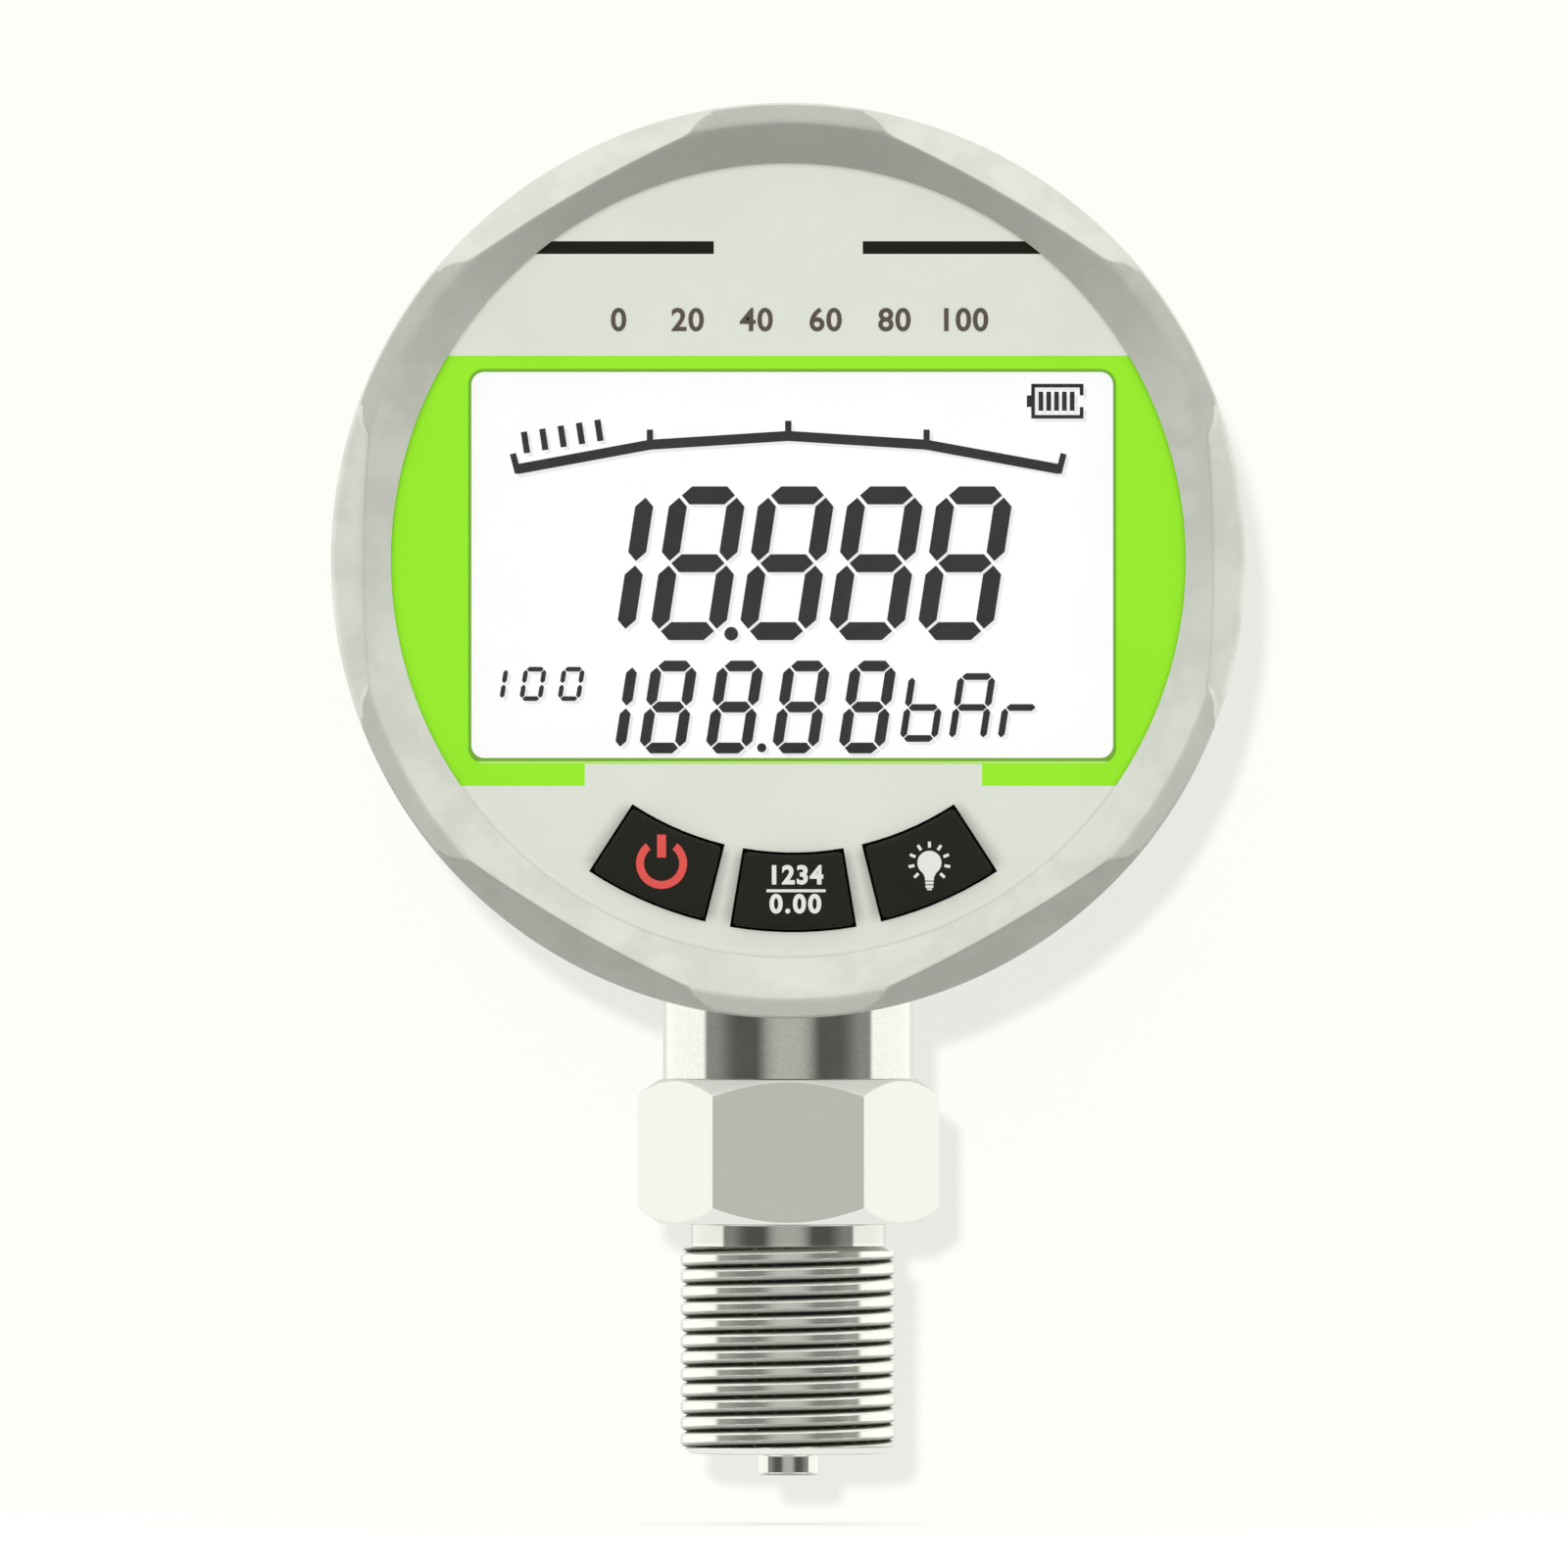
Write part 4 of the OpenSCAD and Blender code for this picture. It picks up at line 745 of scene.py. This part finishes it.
def carried(path, section, sag=0.0):
    """A section carried round a closed outline: pairs of an offset along the outline's normal and a front.

    Below the outline the offsets grow: by the share sag, times the normal's downward share.
    """
    along = np.roll(path, -1, 0) - np.roll(path, 1, 0)
    out = np.stack([along[:, 1], -along[:, 0]], -1) / np.linalg.norm(along, axis=1)[:, None]
    wide = (1 + sag * np.clip(-out[:, 1], 0, 1))[:, None]
    grid = np.stack([on_dial(*(path + out * wide * off).T, front) for off, front in section])
    return quilt(grid, ring=True)


def raised(width, root, top):
    """The section of a low moulded bead with rounded shoulders."""
    shoulder = 0.35 * root + 0.65 * top
    half = [(0.5 * width, root), (0.46 * width, shoulder), (0.3 * width, top), (0.1 * width, top)]
    return half + [(-off, front) for off, front in half[::-1]]


def window_trim():
    """The window's edge: a small bead carried round the window's rounded outline, widest below it."""
    back, top = 16.78, 17.5
    bead = [(-0.03, back), (-0.03, top - 0.05), (0, top), (0.2, top), (0.24, top - 0.04), (0.24, top - 0.3),
            (0.1, top - 0.3), (0.1, back)]
    path = round_box(WINDOW_X, WINDOW_UP, WINDOW_W / 2, WINDOW_H / 2, 1.2)
    # Its finish paints a shade line on the bead and a highlight line below the window.
    piece("window_trim", *carried(path, bead, 0.9), "housing", "trim", "green_film")


def cover_beads():
    """The rear cover's mouldings: a bead round the door, and one near the rim with a bay at each screw.

    The rim's outline is a circle joined by arcs about the screws, then laid at even steps and smoothed.
    """
    ring_r, clear, frame_half_w, frame_half_h = 37.0, 3.75, 31.4, 14.8
    meet = math.acos((ring_r ** 2 + SCREW_RING ** 2 - clear ** 2) / (2 * ring_r * SCREW_RING))
    bay = math.atan2(ring_r * math.sin(meet), ring_r * math.cos(meet) - SCREW_RING)
    path = []
    for a in SCREW_TURNS:
        path.append(ring_at(SCREW_RING, a) + ring_at(clear, np.linspace(a - bay, a + bay - TAU, 40)))
        path.append(ring_at(ring_r, np.linspace(a + meet, a + TAU / 4 - meet, 60)[1:-1]))
    path = np.concatenate(path)
    closed = np.concatenate([path, path[:1]])
    run = np.concatenate([[0], np.cumsum(np.linalg.norm(np.diff(closed, axis=0), axis=1))])
    even = np.linspace(0, run[-1], 721)[:-1]
    path = np.stack([np.interp(even, run, closed[:, k]) for k in (0, 1)], -1)
    path = sum(np.roll(path, k, 0) for k in range(-4, 5)) / 9
    root, top = COVER_BACK + 0.1, COVER_BACK - 0.3
    rim = carried(path, raised(0.9, root, top))
    frame_bead = carried(round_box(0, 0, frame_half_w, frame_half_h, 3), raised(1.1, root, top))
    piece("cover_beads", *join([rim, frame_bead]), "housing", "cover", "cover_black")


def door_marks():
    """The door's mouldings: a bead round a panel, and in it the two cells with their poles."""
    root, top, panel_half_w, panel_half_h = COVER_BACK + 0.08, COVER_BACK - 0.22, 24.2, 11.2
    bead = carried(round_box(0, 0, panel_half_w, panel_half_h, 2), raised(0.8, root, top))
    piece("door_bead", *bead, "door", "door", "cover_black")
    lines, signs = [], []
    arm = np.array([(0.3, 0.3), (0.3, 1.4), (-0.3, 1.4)])
    for side in (1, -1):
        up = side * 5.0
        lines.append(carried(round_box(-side * 0.6, up, 17.5, 3.5, 0.9), raised(0.5, root, top + 0.05)))
        signs.append(bar_at((side * 17.9, up), 1.6, 2.6))
        signs.append(np.concatenate([spun(arm, k * TAU / 4, (side * 13.4, up)) for k in range(4)]))
        signs.append(bar_at((-side * 14.6, up), 2.8, 0.6))
    piece("cell_outlines", *join(lines), "door", "mark", "cover_black")
    stamped("cell_poles", signs, top + 0.1, root, "door", "mark", "cover_black")


def segment_shades():
    """The faint shades that the display's ink throws: its outline moved right and down, laid flat."""
    back, front, middle, shift = 15.0, 15.04, 15.05, 0.3
    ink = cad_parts["display_segments"].data
    x, y, z = corners_of(ink).T
    y = np.where(y < -middle * MM, -front * MM, -back * MM)
    faces = [tuple(p.vertices) for p in ink.polygons]
    piece("segment_shades", np.stack([x + shift * MM, y, z - shift * MM], -1), faces, "housing", "shade",
          "display_white")


def stamped(name, loops, back, front, *look):
    """Flat artwork: closed outlines in dial places, filled, with a small thickness.

    Look is what piece takes after the faces: body, finish, slot and node.
    """
    curve = bpy.data.curves.new(name, "CURVE")
    curve.dimensions, curve.fill_mode = "2D", "BOTH"
    curve.extrude = (front - back) / 2 * MM
    for loop in loops:
        line = curve.splines.new("POLY")
        line.points.add(len(loop) - 1)
        line.points.foreach_set("co", np.hstack([loop * MM, np.tile([0.0, 1.0], (len(loop), 1))]).ravel())
        line.use_cyclic_u = True
    laid(name, curve, (0, 0), (back + front) / 2, *look)


def figures(name, text, size, at, front, spread, weight, *look):
    """Plain figures in the built-in font, centred at a place, as tall as size."""
    curve = bpy.data.curves.new(name, "FONT")
    em, thickness = size * 1.38, 0.02
    curve.body, curve.size = text, em * MM
    curve.align_x = curve.align_y = "CENTER"
    curve.extrude, curve.offset, curve.space_character = thickness * MM, weight * MM, spread
    laid(name, curve, at, front, *look)


def laid(name, curve, at, front, *look):
    """A curve or text made a mesh, and laid on the dial at a place and a front distance."""
    holder = placed(name, curve)
    bpy.context.view_layer.update()
    flat = bpy.data.meshes.new_from_object(holder.evaluated_get(bpy.context.evaluated_depsgraph_get()))
    bpy.data.objects.remove(holder)
    right, up, out = corners_of(flat).T / MM
    faces = [tuple(p.vertices) for p in flat.polygons]
    bpy.data.meshes.remove(flat)
    piece(name, on_dial(right + at[0], up + at[1], front + out), faces, *look)


def key_place(side):
    """The middle of a key's top."""
    return hung(KEY_MID, side * KEY_STEP) + (ART_X, 0)


def bar_at(at, width, height, spin=0.0):
    """A closed rectangular outline about a place, turned by spin about its own middle."""
    corners = np.array([[-width, -height], [width, -height], [width, height], [-width, height]]) / 2
    return spun(corners, spin, at)


def bulb_loops():
    """The lamp symbol: a pear outline on a narrow threaded base, with nine rays round it."""
    at = key_place(1) + (0.42, 0.05)
    collar = [[-0.42, -1.3], [-0.4, -1.62], [0.4, -1.62], [0.42, -1.3]]
    pear = np.concatenate([ring_at(1.1, np.linspace(-0.95, TAU / 2 + 0.95, 30)), collar]) + at
    base = [bar_at(at - (0, down), width, height)
            for down, width, height in ((1.83, 0.76, 0.25), (2.17, 0.7, 0.25), (2.42, 0.44, 0.16))]
    rays = [bar_at(at + ring_at(1.66, a), 0.54, 0.27, a) for a in np.radians(90 + 33.5 * np.arange(-4, 5))]
    return [pear, *base, *rays]


def power_loops():
    """The power symbol: a ring open at the top, and an upright bar."""
    at, gap = key_place(-1), math.radians(38)
    arc = np.linspace(TAU / 4 + gap, TAU / 4 + TAU - gap, 56)
    ring = np.concatenate([ring_at(2.33, arc), ring_at(1.61, arc)[::-1]]) + at
    return [ring, bar_at(at + (0, 1.58), 0.82, 2.1)]


def screw(at, head_back, head_r, head_t, shank_r, shank_to, cross):
    """A screw from behind: a domed head with a driver recess, and its shank.

    The recess's depth follows the distance from the cross's two lines, or from one slot's line.
    """
    cross_half, cross_to, slot_half, depth = 0.36, 0.62, 0.3, 0.75
    turn = full_turn(96)
    share = np.concatenate([np.linspace(0.03, 0.8, 14), [0.86, 0.92, 0.97, 1.0]])[:, None]
    dome = head_back + head_t * (0.32 * share ** 2 + 4.2 * np.maximum(share - 0.9, 0) ** 2)
    across, along = (np.abs(head_r * share * wave(turn)) for wave in (np.cos, np.sin))
    if cross:
        inside = np.clip((cross_half - np.minimum(across, along)) / 0.12, 0, 1) * (share < cross_to)
        sink = inside * (depth - share)
    else:
        sink = np.clip((slot_half - along) / 0.06, 0, 1) * 0.5
    under, point = head_back + head_t, 0.4
    tail = np.array([[head_r, under], [shank_r, under], [shank_r, shank_to - point],
                     [shank_r * 0.6, shank_to]])
    grid = np.concatenate([about_dial(head_r * share, turn, dome + sink), turned(about_dial, tail, turn)])
    return quilt(grid + np.array([at[0], 0, at[1]]) * MM)


def cover_screws():
    """Four cross-head screws in the lugs' places."""
    parts = [screw(ring_at(SCREW_RING, a), COVER_BACK + 0.2, 2.75, 1.6, 1.45, COVER_BACK + 9.8, True)
             for a in SCREW_TURNS]
    piece("rear_screws", *join(parts), "housing", "screw", "screw_steel", "cover_screws", 30)


def door_screws():
    """The door's two captive slotted screws."""
    parts = [screw((x, 0), COVER_BACK + 0.15, 1.9, 1.2, 1.0, -11.5, False) for x in (-27.75, 27.75)]
    piece("captive_screws", *join(parts), "door", "screw", "screw_steel", "door_screws", 30)


def cell_box(node, side):
    """Where a node's box starts and ends along X, towards its cell's nub, the Y and Z of its axis, and
    its radius."""
    low, high = (np.array(c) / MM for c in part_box(node))
    start, end = (low[0], high[0])[::side]
    return start, end, (low + high)[1:] / 2, (high[2] - low[2]) / 2


def about_cell(along, radius, turn, axis):
    """A place on X that lies radius and turn off an axis along X, which is given by its Y and Z."""
    places = np.broadcast_arrays(along, axis[0] + radius * np.cos(turn), axis[1] + radius * np.sin(turn))
    return np.stack(places, -1) * MM


def cells():
    """Two cells: a sleeve with crimped ends and a nub, turned about the cell's own axis."""
    nub_r, nub_t, crimp = 1.9, 0.9, 0.25
    for side, level in CELLS:
        node = f"{level}_cell"
        start, end, axis, r = cell_box(node, side)
        length = abs(end - start)
        rim, cap = length - 1.2, length - nub_t
        profile = filleted([(0.5, 0, 0), (r - 1.2, 0, 0.2), (r - 0.9, crimp, 0.1), (r, crimp, 0.5),
                            (r, rim, 0.5), (r - 1.0, rim, 0.2), (r - 1.3, cap, 0.2), (nub_r, cap, 0.3),
                            (nub_r, length, 0.4), (0.5, length, 0)], 4)
        grid = about_cell(start + side * profile[:, 1:], profile[:, :1], full_turn(96), axis)
        piece(f"cell_{level}", *quilt(grid), "housing", node, "cell_sleeve", node)


def springs():
    """Two contact springs: a wire carried along a helix whose radius shrinks towards the cell."""
    coil_r, shrink, wire_r, coils = 2.75, 0.95, 0.24, 5
    t, around = np.linspace(0, 1, 260)[:, None], full_turn(8)
    radius = coil_r - shrink * t + wire_r * np.cos(around)
    parts = []
    for side, level in CELLS:
        foot = cell_box("contact_springs", side)[0]
        tip, _, axis, _ = cell_box(f"{level}_cell", side)
        along = foot + side * (0.26 + t * (abs(tip - foot) - 0.56)) + wire_r * np.sin(around)
        parts.append(quilt(about_cell(along, radius, t * TAU * coils, axis)))
    piece("cell_springs", *join(parts), "housing", "spring", "screw_steel", "contact_springs")


bezel()
case()
neck_bead()
thread()
hexagon()
neck()
for side, part in enumerate(("power", "select", "light"), -1):
    key(part, side)
window_trim()
cover_beads()
door_marks()
segment_shades()
MARK, TEXT_H, CAPTION_STEP = (KEY_FRONT, KEY_FRONT + 0.05), 1.68, 6.3
SELECT = "select_button", "legend", "symbol_white"
stamped("power_mark", power_loops(), *MARK, "power_button", "red", "symbol_red", "power_symbol")
stamped("lamp_mark", bulb_loops(), *MARK, "light_button", "legend", "symbol_white", "light_symbol")
figures("select_upper", "1234", TEXT_H, (ART_X + 0.2, 1.36 - KEY_MID), KEY_FRONT + 0.03, 1.12, 0.09, *SELECT,
        "select_symbol")
figures("select_lower", "0.00", TEXT_H, (ART_X + 0.2, -1.28 - KEY_MID), KEY_FRONT + 0.03, 1.2, 0.09, *SELECT)
stamped("select_line", [bar_at((ART_X + 0.26, -KEY_MID), 5.4, 0.26)], *MARK, *SELECT)
for k in range(6):
    figures(f"caption_{k}", str(20 * k), 2.1, (CAPTION_STEP * k - 15.5, 21.9), FILM_FRONT + 0.02, 1.08, 0.06,
            "housing", "caption", "black_film")
cover_screws()
door_screws()
cells()
springs()


def studio():
    """The world: a plain soft light on matt surfaces, and a studio with a horizon for what shines.

    The studio's level follows the slope of the direction, bright above and dim below. Near the horizon
    it follows the cosine of the angle from the front: grey ahead, dark at the front quarters, bright
    at the sides and plain behind. The camera and clear pieces see white.
    """
    f = Finish("studio", world=True)
    x, y, z = f.axes(1)
    drop, front = 0 - z, 0 - y
    sky = 0.97 + z.ramp(0.05, 0.8) * 0.35 - z.ramp(0.85, 1.0) * 0.1
    low = drop.ramp(0.0, 0.7)
    sky = sky - low * 0.38 - low * front.ramp(0.1, 0.6) * 0.2 + drop.ramp(0.75, 1.0) * 0.1
    ahead = front / ((x * x + y * y) ** 0.5 + 0.001)
    quarter = ahead.ramp(0.15, 0.45) * ahead.ramp(0.85, 0.98, 1.0, 0.0)
    sky = sky - front.ramp(0.85, 1.0) * 0.1 + quarter * abs(z).ramp(0.14, 0.36, 1.0, 0.0) * 0.56
    beside = ahead.ramp(-0.9, -0.7) * ahead.ramp(-0.32, -0.12, 1.0, 0.0) * abs(z).ramp(0.3, 0.6, 1.0, 0.0)
    sky = sky + beside * 0.36
    belt = 0.12 + ahead.ramp(0.86, 1.0) * 0.5 + ahead.ramp(0.3, 0.7, 0.22, 0.0)
    belt = belt + ahead.ramp(0.08, 0.17, 1.06, 0.0) - ahead.ramp(-0.97, -0.8, 0.5, 0.0)
    near = abs(z).ramp(0.045, 0.1, 1.0, 0.0)
    shine = sky * (1 - near) + belt * near
    plain = 0.965 + z * 0.18
    camera_ray, clear_ray, glossy_ray = (f.node("LightPath", {}, {}, f"Is {kind} Ray")
                                         for kind in ("Camera", "Transmission", "Glossy"))
    seen = camera_ray.math("MAXIMUM", clear_ray)
    strength = seen + (1 - seen) * (glossy_ray * shine + (1 - glossy_ray) * plain)
    bpy.context.scene.world = f.data
    f.end(f.node("Background", {}, {"Color": PAPER, "Strength": strength}))


def backdrop_finish(name, albedo, glow):
    """Pale paper, seen by the camera from its front side only: a share of its light is its own."""
    f = Finish(name)
    grain = f.noise(8.0, 2, 0.5)
    paper = f.node("BsdfDiffuse", {}, {"Color": darker(PAPER, albedo)})
    light = f.node("Emission", {}, {"Color": f.mix(grain, PAPER, darker(PAPER, 0.995)), "Strength": glow})
    both = f.node("AddShader", {}, {0: paper, 1: light})
    behind = f.node("NewGeometry", {}, {}, "Backfacing")
    seen = f.node("LightPath", {}, {}, "Is Camera Ray") * (1 - behind)
    clear = f.node("BsdfTransparent", {}, {})
    return f.end(f.node("MixShader", {}, {0: seen, 1: clear, 2: both}))


def sheet_at(name, low, high, finish):
    """A flat rectangle of the studio between two opposite corners, in millimetres."""
    (left, front, down), (right, back, up) = low, high
    corners = [(left, front, down), (right, front, down), (right, back, up), (left, back, up)]
    mesh = bpy.data.meshes.new(name)
    mesh.from_pydata(np.array(corners) * MM, [], [(0, 1, 2, 3)])
    mesh.materials.append(finish)
    made = placed(name, mesh)
    return made


def lamp(name, kind, place, aim, **settings):
    """A lamp at a place that looks at a point, both in metres."""
    data = bpy.data.lights.new(name, kind)
    for key, value in settings.items():
        setattr(data, key, value)
    made = placed(name, data)
    made.location, made.visible_glossy = place, False
    made.rotation_euler = (Vector(aim) - Vector(place)).to_track_quat("-Z", "Y").to_euler()
    return made


ROOM, WALL_Y, WALL_FOOT, FLOOR_Z = 900, 60, -700, -6.5
SENSOR, REACH, VIEW_WIDTH, EYE = 36.0, 4.0, 0.1435, (-0.00039, -4.01, 0.0614)
studio()
wall = sheet_at("backdrop", (-ROOM, WALL_Y, WALL_FOOT), (ROOM, WALL_Y, ROOM),
                backdrop_finish("backdrop_paper", 0.14, 0.71))
sheet_at("floor", (-ROOM, -ROOM, FLOOR_Z), (ROOM, ROOM, FLOOR_Z), backdrop_finish("floor_paper", 0.45, 0.58))
lamp("softbox", "AREA", (-0.5, -1.1, 0.95), (0, 0, 0.07), energy=1.6, shape="SQUARE", size=1.6)
throw = lamp("shadow_sun", "SUN", (-0.037, -1.0, 0.060), (0, 0, 0), energy=3.8, angle=0.02)
only_paper = bpy.data.collections.new("paper_only")
only_paper.objects.link(wall)
throw.light_linking.receiver_collection = only_paper

camera_data = bpy.data.cameras.new("camera")
camera_data.sensor_width = SENSOR
camera_data.lens = SENSOR * REACH / VIEW_WIDTH
camera_data.clip_end = 20.0
camera = placed("camera", camera_data)
camera.location = EYE
camera.rotation_euler = (math.pi / 2, 0, 0)
scene = bpy.context.scene
scene.camera = camera
scene.view_settings.view_transform = "Standard"
